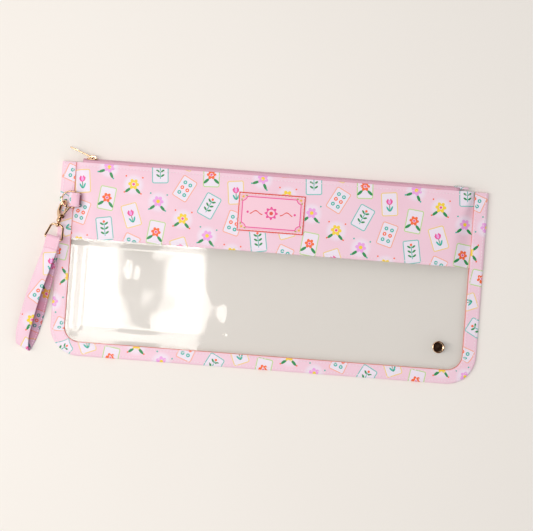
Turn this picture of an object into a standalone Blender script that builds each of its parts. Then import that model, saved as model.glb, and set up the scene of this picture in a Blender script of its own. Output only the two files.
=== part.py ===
"""A flat zip pouch with a clear window, a swivel clasp and a wrist strap, lying on its back.

Metres, +Z up out of the front face, +X along the zip, +Y from the bottom edge to the zip.
The origin lies on the back sheet, under the middle of the pouch.
"""

import math

import bmesh
import bpy
from mathutils import Matrix, Vector
from mathutils.geometry import tessellate_polygon

# The pouch as a whole
pouch_length = 0.393
pouch_height = 0.1777
middle_y = -0.00165
corner_radius = 0.027
puff = 0.0065
seam_gap = 0.0003

# Sheets and bands
window_thickness = 0.0005
band_thickness = 0.0007
band_height = 0.0697
band_overlap = 0.008
panel_inset = 0.0028
side_run = 0.0175
mouth_run = 0.0045
bottom_run = 0.0145
run_change_height = 0.045

# Edge binding
binding_width = 0.013
binding_thickness = 0.0007
binding_lift_run = 0.0075
binding_fold_steps = 5
corner_steps = 9

# Label
label_length = 0.0615
label_height = 0.036
label_thickness = 0.0008
label_corner = 0.0015
label_left_of_middle = 0.0017
label_below_fold = 0.0338

# Zip
zip_tilt = math.radians(14)
zip_out = 0.003
zip_rise = 0.0057
tape_thickness = 0.0005
tape_tuck = 0.006
tape_half_slit = 0.0002
tape_half_height = 0.0038
tape_from_left = 0.0193
tape_from_right = 0.0278
chain_from_tape_start = 0.0027
chain_from_tape_end = 0.0086
chain_thickness = 0.0011
rail_offset = 0.0012
rail_width = 0.0006
tooth_pitch = 0.0028
tooth_reach = 0.0021
tooth_neck = 0.0004
tooth_head = 0.00055
tooth_tip = 0.00032
tooth_head_share = 0.7
first_tooth_share = 0.25
stop_length = 0.0016
stop_inner = 0.0003
stop_outer = 0.0018
stop_corner = 0.0004
bottom_stop_length = 0.003
end_tab_grip = 0.0045
end_tab_tongue = 0.0085
end_tab_thickness = 0.0007
end_tab_half_width = 0.0026

# Slider and pull
slider_from_chain_start = 0.0055
slider_length = 0.010
slider_half_width = 0.0033
slider_rear_share = 0.84
slider_shoulder_share = 0.35
slider_nose_share = 0.7
slider_thickness = 0.0009
slider_edge = 0.0004
bridge_half_span = 0.0026
bridge_leg = 0.001
bridge_half_width = 0.001
pull_length = 0.0226
pull_half_width = 0.0024
pull_tip_half_width = 0.0017
pull_thickness = 0.0009
pull_bar = 0.00045
pull_play = 0.0003
pull_eye_reach = 0.0038
pull_lean = math.radians(22)
pull_slot_start = 0.0085
pull_slot_end = 0.019
pull_slot_half_width = 0.0006

# Tab loop and ring
tab_from_left = 0.0158
tab_below_fold = 0.0349
tab_width = 0.0128
tab_thickness = 0.001
tab_lift = 0.0007
tab_tunnel_radius = 0.0033
tab_tunnel_flat = 0.0023
tab_steps = 8
ring_radius = 0.00755
ring_wire = 0.00075
ring_play = 0.0004
ring_tilt = math.radians(3)
ring_steps = 32
wire_steps = 10

# Clasp
clasp_ring_angle = math.radians(225)
clasp_turn = math.radians(12)
clasp_slope = math.radians(-10)
clasp_tilt = math.radians(50)
hook_seat = 0.001
hook_radius = 0.0045
hook_steps = 12
limb_half_width = 0.002
limb_half_depth = 0.0018
limb_bend_reach = 0.0068
limb_end_reach = 0.0118
limb_end_side = 0.0006
nose_reach = 0.0028
nose_half_width = 0.0009
nose_half_depth = 0.001
barrel_start = 0.0108
barrel_end = 0.0166
barrel_radius = 0.0024
barrel_wall = 0.0012
barrel_steps = 20
turn_clear = 0.0002
post_radius = 0.0008
post_head_radius = 0.0014
post_head_length = 0.0012
post_bead_radius = 0.0013
post_bead_length = 0.001
post_tip_length = 0.0007
boss_start = 0.0182
boss_length = 0.0024
boss_radius = 0.0019
ear_start = 0.0092
ear_end = 0.0128
ear_low = -0.0010
ear_high = 0.0036
ear_thickness = 0.0006
ear_corner = 0.0009
slot_low = 0.0006
slot_end = 0.0120
slot_half_depth = 0.0013
gate_pivot_reach = 0.0106
gate_pivot_side = 0.0022
gate_knuckle_radius = 0.0011
gate_half_depth = 0.0006
gate_half_width = 0.0006
gate_bend_reach = 0.0062
gate_lever_reach = 0.0022
gate_lever_side = 0.0095
gate_shift = 0.0003
gate_pin_radius = 0.0004
gate_pin_head = 0.0007
gate_pin_clear = 0.00012
spring_wire = 0.0001
spring_radius = 0.00068
spring_turns = 2
spring_pitch = 0.00024
spring_leg = 0.0012

# Swivel eye
eye_half_width = 0.0079
eye_bar_reach = 0.0324
eye_wire = 0.00105
eye_top_corner = 0.0036
eye_bar_corner = 0.0012

# Wrist strap
strap_width = 0.0126
strap_length = 0.1072
strap_thickness = 0.0016
strap_clear = 0.00025
strap_neck = 0.0045
strap_seam = 0.0105
strap_flap = 0.0005
strap_opening = 0.006
strap_fold_slant = 0.27
strap_steps = 22
strap_fold_steps = 8
# Sideways drift of the two layers, as shares of the strap's width, at shares of its length
upper_drift = ((0.0, 0.0), (0.05, 0.0), (0.1, 0.0), (0.34, -0.17), (0.56, -0.29), (0.84, -0.31), (1.0, -0.02))
lower_drift = ((0.0, 0.0), (0.05, 0.0), (0.1, 0.12), (0.35, 0.26), (0.56, 0.29), (0.84, 0.25), (1.0, -0.02))
# How far the strap has fallen to the table, and how far its layers part, as shares
strap_fall = ((0.0, 0.0), (0.1, 0.05), (0.34, 0.39), (0.45, 0.5), (0.72, 0.96), (1.0, 1.0))
strap_parting = ((0.1, 0.0), (0.25, 0.5), (0.5, 1.0), (0.8, 0.85), (1.0, 0.55))

# Stud
stud_radius = 0.00565
stud_height = 0.0015
stud_dish = 0.0003
stud_rim = 0.001
stud_post_radius = 0.0012
stud_hole_clear = 0.0003
stud_washer_radius = 0.0045
stud_washer_thickness = 0.0007
stud_from_right = 0.0362
stud_above_bottom = 0.0335
stud_steps = 32

# Places that follow from the sizes
half_length = pouch_length / 2
bottom_y = middle_y - pouch_height / 2
fold_y = bottom_y + pouch_height
band_bottom_y = fold_y - band_height
window_top_y = band_bottom_y + band_overlap
band_step = band_thickness + seam_gap
back_level = binding_thickness + seam_gap
front_level = back_level + window_thickness + seam_gap
window_binding_height = front_level + window_thickness + seam_gap + binding_thickness
band_binding_height = window_binding_height + 2 * band_step
zip_y = fold_y + zip_out
label_x = -label_left_of_middle
tab_x = tab_from_left - half_length
tab_y = fold_y - tab_below_fold
stud_x = half_length - stud_from_right
panel_half = half_length - panel_inset
panel_bottom = bottom_y + panel_inset
panel_corner = corner_radius - panel_inset
run_start = half_length - binding_width
tape_start = tape_from_left - half_length
tape_end = half_length - tape_from_right
chain_start = tape_start + chain_from_tape_start
chain_length = tape_end - chain_from_tape_end - chain_start
slider_x = chain_start + slider_from_chain_start
chain_top = -tape_thickness / 2 - seam_gap
chain_bottom = chain_top - chain_thickness
wing_low = tape_thickness / 2 + seam_gap
wing_top = wing_low + slider_thickness
pull_height = wing_top + pull_play + pull_thickness / 2
bridge_inside = pull_height + pull_bar + pull_play
bridge_top = bridge_inside + bridge_leg


def smooth(value):
    """A step from 0 to 1 that starts and ends level."""
    value = min(max(value, 0.0), 1.0)
    return value * value * (3 - 2 * value)


def along_table(table, place):
    """The value at this place on a smooth curve through a table of (place, value) pairs."""
    last = len(table) - 1
    step = 0
    while step < last - 1 and place > table[step + 1][0]:
        step += 1
    start, end = table[step], table[step + 1]
    before, after = table[max(step - 1, 0)], table[min(step + 2, last)]
    span = end[0] - start[0]
    leave = (end[1] - before[1]) / (end[0] - before[0]) * span
    arrive = (after[1] - start[1]) / (after[0] - start[0]) * span
    t = min(max((place - start[0]) / span, 0.0), 1.0)
    rest = 1 - t
    ends = start[1] * rest * rest * (1 + 2 * t) + end[1] * t * t * (1 + 2 * rest)
    return ends + leave * t * rest * rest - arrive * t * t * rest


def arc(centre, radius, start, end, steps):
    """Points of an arc in the plane of its centre, with both ends."""
    turns = [start + (end - start) * step / steps for step in range(steps + 1)]
    return [
        (centre[0] + radius * math.cos(turn), centre[1] + radius * math.sin(turn))
        for turn in turns
    ]


def clear_scene():
    for found in list(bpy.data.objects):
        bpy.data.objects.remove(found)


def surface(name, colour, roughness, metallic, opacity=1.0):
    material = bpy.data.materials.new(name)
    material.use_nodes = True
    shader = material.node_tree.nodes["Principled BSDF"]
    shader.inputs["Base Color"].default_value = (*colour, 1.0)
    shader.inputs["Roughness"].default_value = roughness
    shader.inputs["Metallic"].default_value = metallic
    shader.inputs["Alpha"].default_value = opacity
    material.diffuse_color = (*colour, opacity)
    return material


def frame_at(origin, x_axis, y_axis):
    """The matrix of a right-handed frame, its Y axis as near to y_axis as it can be."""
    x_axis = x_axis.normalized()
    z_axis = x_axis.cross(y_axis).normalized()
    y_axis = z_axis.cross(x_axis)
    return Matrix.Translation(origin) @ Matrix((x_axis, y_axis, z_axis)).transposed().to_4x4()


def pivot(name, frame, parent=None):
    """An empty on a joint's axis, which carries the pieces that turn or slide there."""
    empty = bpy.data.objects.new(name, None)
    empty.empty_display_size = binding_width
    bpy.context.scene.collection.objects.link(empty)
    empty.parent = parent
    empty.matrix_basis = frame
    return empty


def piece(name, points, faces, material, parent=None, rounded=True):
    mesh = bpy.data.meshes.new(name)
    mesh.from_pydata([tuple(point) for point in points], [], faces)
    shape = bmesh.new()
    shape.from_mesh(mesh)
    bmesh.ops.recalc_face_normals(shape, faces=shape.faces)
    shape.to_mesh(mesh)
    shape.free()
    if rounded:
        mesh.shade_smooth()
        mesh.set_sharp_from_angle(angle=math.radians(40))
    mesh.materials.append(material)
    made = bpy.data.objects.new(name, mesh)
    bpy.context.scene.collection.objects.link(made)
    made.parent = parent
    return made


def combine(target, operation, name, shape, frame=None):
    """Join a second shape to the target, or cut it out of it."""
    other = piece(name, *shape, target.data.materials[0], target)
    other.matrix_basis = frame or Matrix()
    other.hide_render = True
    other.display_type = "WIRE"
    change = target.modifiers.new(name, "BOOLEAN")
    change.operation = operation
    change.object = other
    change.solver = "EXACT"


def skin(rings, closed=False):
    """Points and faces of a solid through rings of equally many points."""
    count = len(rings[0])
    points = [point for ring in rings for point in ring]
    faces = []
    spans = len(rings) if closed else len(rings) - 1
    for span in range(spans):
        here = span * count
        there = (span + 1) % len(rings) * count
        for side in range(count):
            after = (side + 1) % count
            faces.append((here + side, here + after, there + after, there + side))
    if not closed:
        faces.append(tuple(range(count)))
        faces.append(tuple(range(len(points) - count, len(points))))
    return points, faces


def turned(profile, steps):
    """Points and faces of a closed profile of (radius, height) pairs turned round the X axis."""
    points = []
    rows = []
    for radius, height in profile:
        if radius == 0:
            rows.append([len(points)] * steps)
            points.append((height, 0, 0))
            continue
        rows.append(list(range(len(points), len(points) + steps)))
        for step in range(steps):
            turn = math.tau * step / steps
            points.append((height, radius * math.cos(turn), radius * math.sin(turn)))
    faces = []
    for row, following in zip(rows, rows[1:] + rows[:1]):
        for step in range(steps):
            after = (step + 1) % steps
            corners = (row[step], row[after], following[after], following[step])
            face = tuple(dict.fromkeys(corners))
            if len(face) > 2:
                faces.append(face)
    return points, faces


def prism(outline, low, high, holes=()):
    """Points and faces of an outline in X and Y, with any holes, from low to high in Z."""
    loops = [list(outline), *[list(hole) for hole in holes]]
    flat = [point for loop in loops for point in loop]
    count = len(flat)
    points = [(x, y, low) for x, y in flat] + [(x, y, high) for x, y in flat]
    caps = tessellate_polygon([[Vector((x, y, 0)) for x, y in loop] for loop in loops])
    faces = [tuple(cap) for cap in caps]
    faces += [tuple(corner + count for corner in cap) for cap in caps]
    start = 0
    for loop in loops:
        for step in range(len(loop)):
            this = start + step
            after = start + (step + 1) % len(loop)
            faces.append((this, after, after + count, this + count))
        start += len(loop)
    return points, faces


def rounded_box(left, right, low, high, corner, steps):
    """Outline of a rectangle with round corners."""
    outline = []
    for quarter, (x, y) in enumerate(((right, high), (left, high), (left, low), (right, low))):
        centre_x = x - corner if x == right else x + corner
        centre_y = y - corner if y == high else y + corner
        start = quarter * math.pi / 2
        outline += arc((centre_x, centre_y), corner, start, start + math.pi / 2, steps)
    return outline


def oval_bar(centres, half_widths, half_depths, steps, closed=False):
    """Rings of a bar with an oval section along centres in the XY plane, Z being its depth."""
    rings = []
    count = len(centres)
    for place, (x, y) in enumerate(centres):
        before = centres[place - 1] if closed or place else centres[0]
        after = centres[(place + 1) % count] if closed or place < count - 1 else centres[place]
        along = Vector((after[0] - before[0], after[1] - before[1])).normalized()
        ring = []
        for step in range(steps):
            turn = math.tau * step / steps
            out = half_widths[place] * math.cos(turn)
            up = half_depths[place] * math.sin(turn)
            ring.append((x - along.y * out, y + along.x * out, up))
        rings.append(ring)
    return rings


def thick_line(path, half):
    """Outline of an even strip along a path in the plane."""
    left = []
    right = []
    for step, (x, y) in enumerate(path):
        before = path[max(step - 1, 0)]
        after = path[min(step + 1, len(path) - 1)]
        along = Vector((after[0] - before[0], after[1] - before[1])).normalized()
        left.append((x - along.y * half, y + along.x * half))
        right.append((x + along.y * half, y - along.x * half))
    return left + right[::-1]


def lift(y):
    """How far a band's own thickness lifts what lies over its lower edge."""
    return band_step * smooth((y - band_bottom_y) / binding_lift_run + 1)


def inside_share(x, y):
    """0 at the binding and 1 further in, where the front stands off and the back lies flat."""
    change = smooth((y - fold_y) / run_change_height + 1)
    run = side_run + (mouth_run - side_run) * change
    from_side = smooth((run_start - abs(x)) / run)
    from_bottom = smooth((y - bottom_y - binding_width) / bottom_run)
    return from_side * from_bottom


def rise(x, y):
    """How far the front stands off the height it has at the binding."""
    return puff * inside_share(x, y)


def sag(x, y):
    """How far the back is held up off the table by the binding under its edge."""
    return back_level * (1 - inside_share(x, y))


def back_band_z(x, y):
    return sag(x, y)


def back_window_z(x, y):
    return sag(x, y) + lift(y)


def front_window_z(x, y):
    return front_level + lift(y) + rise(x, y)


def front_band_z(x, y):
    return front_level + band_step + window_thickness + seam_gap + rise(x, y)


def column_places():
    """Distances in from a panel's side edge: close together where it rises, then wide apart."""
    reach = binding_width - panel_inset
    shares = (0.12, 0.25, 0.38, 0.52, 0.68, 0.84, 1.0)
    return [0, reach, *[reach + side_run * share for share in shares], panel_half / 2]


def panel(name, rows, low, thickness, material):
    """A thin sheet over rows of (y, half width), its underside at the height that low gives."""
    lower = []
    for y, half in rows:
        right = [half - place for place in column_places()]
        xs = [-x for x in right] + right[::-1]
        lower.append([(x, y, low(x, y)) for x in xs])
    across = len(lower[0])
    points = [point for row in lower for point in row]
    count = len(points)
    points += [(x, y, z + thickness) for x, y, z in points]
    faces = []
    for row in range(len(rows) - 1):
        for column in range(across - 1):
            a = row * across + column
            b = a + across
            faces.append((a, b, b + 1, a + 1))
            faces.append((a + count, a + 1 + count, b + 1 + count, b + count))
    rim = list(range(across))
    rim += [row * across + across - 1 for row in range(1, len(rows))]
    rim += [count - 1 - column for column in range(1, across)]
    rim += [row * across for row in range(len(rows) - 2, 0, -1)]
    for this, after in zip(rim, rim[1:] + rim[:1]):
        faces.append((this, after, after + count, this + count))
    return piece(name, points, faces, material)


def window_rows():
    """Rows of a window sheet, round at its two lower corners."""
    rows = []
    for step in range(6):
        turn = math.pi / 2 * step / 5
        half = panel_half - panel_corner * (1 - math.sin(turn))
        rows.append((panel_bottom + panel_corner * (1 - math.cos(turn)), half))
    rise_end = bottom_y + binding_width + bottom_run
    lift_start = band_bottom_y - binding_lift_run
    above = [(rows[-1][0] + rise_end) / 2, rise_end, (rise_end + lift_start) / 2, lift_start]
    above += [(lift_start + band_bottom_y) / 2, band_bottom_y, window_top_y]
    return rows + [(y, panel_half) for y in above]


def band_rows():
    change = fold_y - run_change_height
    shares = (0.0, 0.25, 0.5, 0.7, 0.85, 1.0)
    rows = [band_bottom_y, window_top_y]
    rows += [change + run_change_height * share for share in shares]
    return [(y, panel_half) for y in rows]


def edge_binding(material):
    """The strip folded over the edges, swept down the left side, along the bottom and up."""
    straight = [fold_y, band_bottom_y, band_bottom_y - binding_lift_run / 2]
    straight += [band_bottom_y - binding_lift_run]
    centre_y = bottom_y + corner_radius
    centre_x = half_length - corner_radius
    path = [((-half_length, y), (1, 0)) for y in straight]
    for x, start in ((-centre_x, math.pi), (centre_x, math.pi * 1.5)):
        for step in range(corner_steps):
            turn = start + math.pi / 2 * step / (corner_steps - 1)
            out = (math.cos(turn), math.sin(turn))
            edge = (x + corner_radius * out[0], centre_y + corner_radius * out[1])
            path.append((edge, (-out[0], -out[1])))
    path += [((half_length, y), (-1, 0)) for y in reversed(straight)]
    rings = []
    for (x, y), inward in path:
        height = window_binding_height + 2 * lift(y)
        fold = height / 2
        outer = arc((fold, fold), fold, -math.pi / 2, -math.pi * 1.5, binding_fold_steps)
        inner_fold = fold - binding_thickness
        inner = arc((fold, fold), inner_fold, math.pi / 2, math.pi * 1.5, binding_fold_steps)
        section = [(binding_width, 0), *outer, (binding_width, height)]
        section += [(binding_width, height - binding_thickness), *inner]
        section += [(binding_width, binding_thickness)]
        rings.append([(x + inward[0] * n, y + inward[1] * n, z) for n, z in section])
    return piece("edge_binding", *skin(rings), material)


def label_patch(material):
    half_x = label_length / 2
    half_y = label_height / 2
    outline = rounded_box(-half_x, half_x, -half_y, half_y, label_corner, 3)
    y = fold_y - label_below_fold
    seat = front_band_z(label_x, y) + band_thickness + seam_gap
    made = piece("label_patch", *prism(outline, 0, label_thickness), material)
    made.location = (label_x, y, seat)


def zip_frame(x):
    """The zip's frame at x: X along it, Y from its front half to its back half, Z out."""
    back = Vector((0, math.sin(zip_tilt), -math.cos(zip_tilt)))
    return frame_at(Vector((x, zip_y, zip_rise)), Vector((1, 0, 0)), back)


def zip_tape(name, side, material):
    """A tape half: flat beside the slit, then bent to run in under the band's hem."""
    half = tape_thickness / 2
    if side > 0:
        hem = front_band_z(0, fold_y) - seam_gap - half
    else:
        hem = back_band_z(0, fold_y) + band_thickness + seam_gap + half
    lean_y = -math.sin(zip_tilt) * side
    lean_z = math.cos(zip_tilt) * side
    flat_end = tape_half_height
    path = [(zip_y + lean_y * tape_half_slit, zip_rise + lean_z * tape_half_slit)]
    path += [(zip_y + lean_y * flat_end, zip_rise + lean_z * flat_end)]
    path += [((path[1][0] + fold_y) / 2, hem), (fold_y - tape_tuck, hem)]
    made = piece(name, *prism(thick_line(path, half), tape_start, tape_end), material)
    made.matrix_basis = frame_at(Vector((0, 0, 0)), Vector((0, 1, 0)), Vector((0, 0, 1)))
    return made


def teeth_row(name, side, material):
    """One row of zip teeth on its rail. The other side's teeth lie half a pitch further on."""
    count = int(chain_length / tooth_pitch)
    shift = 0 if side > 0 else tooth_pitch / 2
    rail_outer = rail_offset + rail_width
    head = rail_offset - tooth_reach * tooth_head_share
    tip = rail_offset - tooth_reach
    outline = [(0, rail_outer), (0, rail_offset)]
    for number in range(count):
        middle = (number + first_tooth_share) * tooth_pitch + shift
        outline += [(middle - tooth_neck, rail_offset), (middle - tooth_head, head)]
        outline += [(middle - tooth_tip, tip), (middle + tooth_tip, tip)]
        outline += [(middle + tooth_head, head), (middle + tooth_neck, rail_offset)]
    outline += [(chain_length, rail_offset), (chain_length, rail_outer)]
    outline = [(x, -side * across) for x, across in outline]
    made = piece(name, *prism(outline, chain_bottom, chain_top), material, rounded=False)
    made.matrix_basis = zip_frame(chain_start)


def zip_stop(name, x, length, low, high, material):
    """A moulded stop at an end of the teeth."""
    outline = rounded_box(0, length, low, high, stop_corner, 2)
    made = piece(name, *prism(outline, chain_bottom, chain_top), material)
    made.matrix_basis = zip_frame(x)


def zip_end_tab(material):
    """A strip folded over the right end of both tapes, its two layers sewn flat beyond them."""
    inner = wing_low
    outer = wing_low + end_tab_thickness
    close = seam_gap + end_tab_thickness
    outline = [(-end_tab_grip, outer), (-end_tab_grip, inner), (seam_gap, inner)]
    outline += [(seam_gap, -inner), (-end_tab_grip, -inner), (-end_tab_grip, -outer)]
    outline += [(close, -outer), (close * 2, -end_tab_thickness)]
    outline += [(end_tab_tongue, -end_tab_thickness), (end_tab_tongue, end_tab_thickness)]
    outline += [(close * 2, end_tab_thickness), (close, outer)]
    shape = prism(outline, -end_tab_half_width, end_tab_half_width)
    made = piece("zipper_end_tab", *shape, material)
    made.matrix_basis = zip_frame(tape_end) @ Matrix.Rotation(math.pi / 2, 4, "X")


def slider_side(inset):
    """Points along one side of a slider wing, from its broad nose to its narrower rear."""
    end = slider_length / 2 - inset
    broad = slider_half_width - inset
    narrow = slider_half_width * slider_rear_share - inset
    shoulder = slider_length * slider_shoulder_share
    return [
        (-end, broad * slider_nose_share),
        (-end * slider_nose_share, broad),
        (shoulder - slider_length / 2, broad),
        (shoulder - slider_length / 5, narrow),
        (end, narrow * slider_rear_share),
    ]


def zip_slider(carrier, material):
    """The outer wing with the bridge for its pull, and the inner wing with its flanges."""
    side = slider_side(0)
    outline = side + [(x, -y) for x, y in reversed(side)]
    outer = piece("zipper_slider", *prism(outline, wing_low, wing_top), material, carrier)
    root = (wing_low + wing_top) / 2
    span = bridge_half_span + bridge_leg / 2
    hollow = bridge_half_span - bridge_leg / 2
    shoulder = (bridge_inside + bridge_top) / 2
    half_arch = [(hollow, root), (span, root), (span, shoulder), (hollow, bridge_top)]
    inside = [(hollow, bridge_inside - pull_play), (hollow - pull_play, bridge_inside)]
    arch = half_arch + [(-x, z) for x, z in reversed(half_arch)]
    arch += [(-x, z) for x, z in inside] + inside[::-1]
    points, faces = prism(arch, -bridge_half_width, bridge_half_width)
    points = [(x, y, z) for x, z, y in points]
    combine(outer, "UNION", "bridge_shape", (points, faces))

    plate_top = chain_bottom - seam_gap
    plate_low = plate_top - slider_thickness
    inner = piece("zipper_slider_back", *prism(outline, plate_low, plate_top), material, carrier)
    path = slider_side(slider_edge)[1:4]
    for name, sign in (("front_flange_shape", -1), ("back_flange_shape", 1)):
        strip = thick_line([(x, sign * y) for x, y in path], slider_edge)
        low = plate_low + slider_thickness / 2
        combine(inner, "UNION", name, prism(strip, low, chain_top - seam_gap))


def zip_pull(carrier, material):
    """The pull, with an eye round the bridge's leg and a slot along its blade."""
    half = pull_thickness / 2
    side = [(pull_bar, pull_half_width - pull_bar), (0, pull_half_width)]
    side += [(-pull_eye_reach, pull_half_width), (-pull_slot_start, pull_tip_half_width)]
    side += [(pull_tip_half_width - pull_length, pull_tip_half_width)]
    side += [(pull_bar - pull_length, pull_tip_half_width / 2)]
    side += [(-pull_length, 0)]
    outline = side + [(x, -y) for x, y in reversed(side[:-1])]
    eye_half = bridge_half_width + pull_play
    eye = rounded_box(-pull_eye_reach, -pull_bar, -eye_half, eye_half, pull_play, 2)
    slot = rounded_box(-pull_slot_end, -pull_slot_start - pull_half_width, -pull_slot_half_width,
                       pull_slot_half_width, pull_slot_half_width, 3)
    piece("zipper_pull", *prism(outline, -half, half, [eye, slot]), material, carrier)


def tab_loop(material):
    def stadium(radius):
        right = arc((0, 0), radius, -math.pi / 2, math.pi / 2, tab_steps)
        left = arc((-tab_tunnel_flat, 0), radius, math.pi / 2, math.pi * 1.5, tab_steps)
        return right + left

    hole = stadium(tab_tunnel_radius)
    outline = stadium(tab_tunnel_radius + tab_thickness)
    made = piece("tab_loop", *prism(outline, -tab_width / 2, tab_width / 2, [hole]), material)
    made.matrix_basis = tab_frame() @ Matrix.Rotation(math.pi / 2, 4, "X")


def tab_frame():
    tunnel = band_binding_height + seam_gap + tab_lift + tab_thickness + tab_tunnel_radius
    return Matrix.Translation((tab_x, tab_y, tunnel))


def tab_ring(carrier, material):
    centre_x = ring_centre_x()
    centres = arc((centre_x, 0), ring_radius, 0, math.tau, ring_steps)[:-1]
    widths = [ring_wire] * ring_steps
    rings = oval_bar(centres, widths, widths, wire_steps, closed=True)
    piece("tab_ring", *skin(rings, closed=True), material, carrier)


def ring_centre_x():
    return tab_tunnel_radius - ring_wire - ring_play - ring_radius


def clasp_frame(ring_frame):
    """On the ring's wire: X down the clasp to the strap, Y to the right, Z up."""
    seat = arc((ring_centre_x(), 0), ring_radius, clasp_ring_angle, clasp_ring_angle, 1)[0]
    place = ring_frame @ Vector((*seat, 0))
    flat = math.cos(clasp_slope)
    down = Vector((-math.sin(clasp_turn) * flat, -math.cos(clasp_turn) * flat, -math.sin(clasp_slope)))
    return frame_at(place, down, Vector((math.cos(clasp_turn), -math.sin(clasp_turn), 0)))


def clasp_body(carrier, material):
    """The hook with its nose, the barrel for the post, and the ears that hold the gate."""
    centres = [(nose_reach, hook_radius)]
    centres += arc((hook_seat, 0), hook_radius, math.pi / 2, math.pi * 1.5, hook_steps)
    centres += [(limb_bend_reach, -hook_radius), (limb_end_reach, -limb_end_side)]
    count = len(centres)
    shares = [(place / (count - 1)) ** 2 for place in range(count)]
    widths = [nose_half_width + (limb_half_width - nose_half_width) * share for share in shares]
    depths = [nose_half_depth + (limb_half_depth - nose_half_depth) * share for share in shares]
    body = piece("clasp_body", *skin(oval_bar(centres, widths, depths, wire_steps)), material, carrier)

    edge = barrel_wall / 2
    barrel = [(0, barrel_start), (barrel_radius - edge, barrel_start)]
    barrel += [(barrel_radius, barrel_start + edge), (barrel_radius, barrel_end - edge)]
    barrel += [(barrel_radius - edge / 2, barrel_end), (0, barrel_end)]
    combine(body, "UNION", "barrel_shape", turned(barrel, barrel_steps))
    ear_half = slot_half_depth + ear_thickness
    ears = rounded_box(ear_start, ear_end, ear_low, ear_high, ear_corner, 3)
    combine(body, "UNION", "ears_shape", prism(ears, -ear_half, ear_half))
    beyond = ear_high * 2
    slot = [(0, slot_low), (slot_end, slot_low), (slot_end, beyond), (0, beyond)]
    combine(body, "DIFFERENCE", "gate_slot", prism(slot, -slot_half_depth, slot_half_depth))
    hole_radius = gate_pin_radius + gate_pin_clear
    hole = turned([(0, -ear_half * 2), (hole_radius, -ear_half * 2), (hole_radius, ear_half * 2),
                   (0, ear_half * 2)], wire_steps)
    combine(body, "DIFFERENCE", "pin_hole", hole, pin_frame())
    bore = post_radius + turn_clear
    room = post_head_radius + turn_clear
    cavity = [(0, barrel_start + barrel_wall), (room, barrel_start + barrel_wall)]
    cavity += [(room, barrel_end - barrel_wall), (bore, barrel_end - barrel_wall)]
    cavity += [(bore, barrel_end * 2), (0, barrel_end * 2)]
    combine(body, "DIFFERENCE", "post_room", turned(cavity, barrel_steps))


def pin_frame():
    """At the gate's pivot: X along the pin."""
    place = Vector((gate_pivot_reach, gate_pivot_side, 0))
    return frame_at(place, Vector((0, 0, 1)), Vector((1, 0, 0)))


def gate_pin(carrier, material):
    ear_out = slot_half_depth + ear_thickness + turn_clear
    end = ear_out + ear_thickness
    radius = gate_pin_radius
    profile = [(0, -end), (gate_pin_head, -end), (gate_pin_head, -ear_out), (radius, -ear_out)]
    profile += [(radius, ear_out), (gate_pin_head, ear_out), (gate_pin_head, end), (0, end)]
    made = piece("clasp_gate_pin", *turned(profile, wire_steps), material, carrier)
    made.matrix_basis = pin_frame()


def gate_spring(carrier, material):
    """A small coil round the pin, between the gate and an ear, with two short legs."""
    steps = spring_turns * 16
    bottom = gate_half_depth - gate_shift + spring_wire * 2
    path = [(spring_radius, -spring_leg, bottom)]
    for step in range(steps + 1):
        turn = math.tau * spring_turns * step / steps
        height = bottom + spring_pitch * spring_turns * step / steps
        path.append((spring_radius * math.cos(turn), spring_radius * math.sin(turn), height))
    path.append((spring_radius, spring_leg, path[-1][2]))
    rings = []
    for place, point in enumerate(path):
        before = Vector(path[max(place - 1, 0)])
        after = Vector(path[min(place + 1, len(path) - 1)])
        side = (after - before).cross(Vector((0, 0, 1))).normalized()
        up = side.cross(after - before).normalized()
        ring = []
        for step in range(6):
            turn = math.tau * step / 6
            ring.append(Vector(point) + (side * math.cos(turn) + up * math.sin(turn)) * spring_wire)
        rings.append(ring)
    made = piece("clasp_gate_spring", *skin(rings), material, carrier)
    made.location = (gate_pivot_reach, gate_pivot_side, 0)


def clasp_gate(carrier, material):
    """The gate, closing against the hook's nose, with its thumb lever, about its own pin."""
    half = gate_half_width
    outline = arc((0, 0), gate_knuckle_radius, math.radians(200), math.radians(430), 12)
    tip_x = nose_reach + seam_gap - gate_pivot_reach
    bend_x = gate_bend_reach - gate_pivot_reach
    lever_x = gate_lever_reach - gate_pivot_reach
    lever_y = gate_lever_side - gate_pivot_side
    arm_y = hook_radius - gate_pivot_side
    outline += [(lever_x + half, lever_y + half), (lever_x, lever_y + half), (lever_x - half, lever_y)]
    outline += [(lever_x, lever_y - half), (bend_x, arm_y + half), (tip_x, arm_y + half)]
    outline += [(tip_x, arm_y - half), (bend_x, arm_y - half)]
    bore = gate_pin_radius + gate_pin_clear
    hole = arc((0, 0), bore, 0, math.tau, wire_steps)[:-1]
    low = -gate_half_depth - gate_shift
    shape = prism(outline, low, low + 2 * gate_half_depth, [hole])
    piece("clasp_gate", *shape, material, carrier)


def swivel_post(carrier, material):
    """The post: its head in the barrel, a bead between barrel and eye, its tip in the eye."""
    head = barrel_end - barrel_wall - turn_clear
    bead = (barrel_end + boss_start) / 2
    tip = boss_start + boss_length + turn_clear
    radius = post_radius
    profile = [(0, head - post_head_length), (post_head_radius, head - post_head_length)]
    profile += [(post_head_radius, head), (radius, head), (radius, bead - post_bead_length / 2)]
    profile += [(post_bead_radius, bead - post_bead_length / 4)]
    profile += [(post_bead_radius, bead + post_bead_length / 4), (radius, bead + post_bead_length / 2)]
    profile += [(radius, tip), (post_head_radius, tip), (radius, tip + post_tip_length)]
    profile += [(0, tip + post_tip_length)]
    piece("swivel_post", *turned(profile, barrel_steps), material, carrier)


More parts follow.
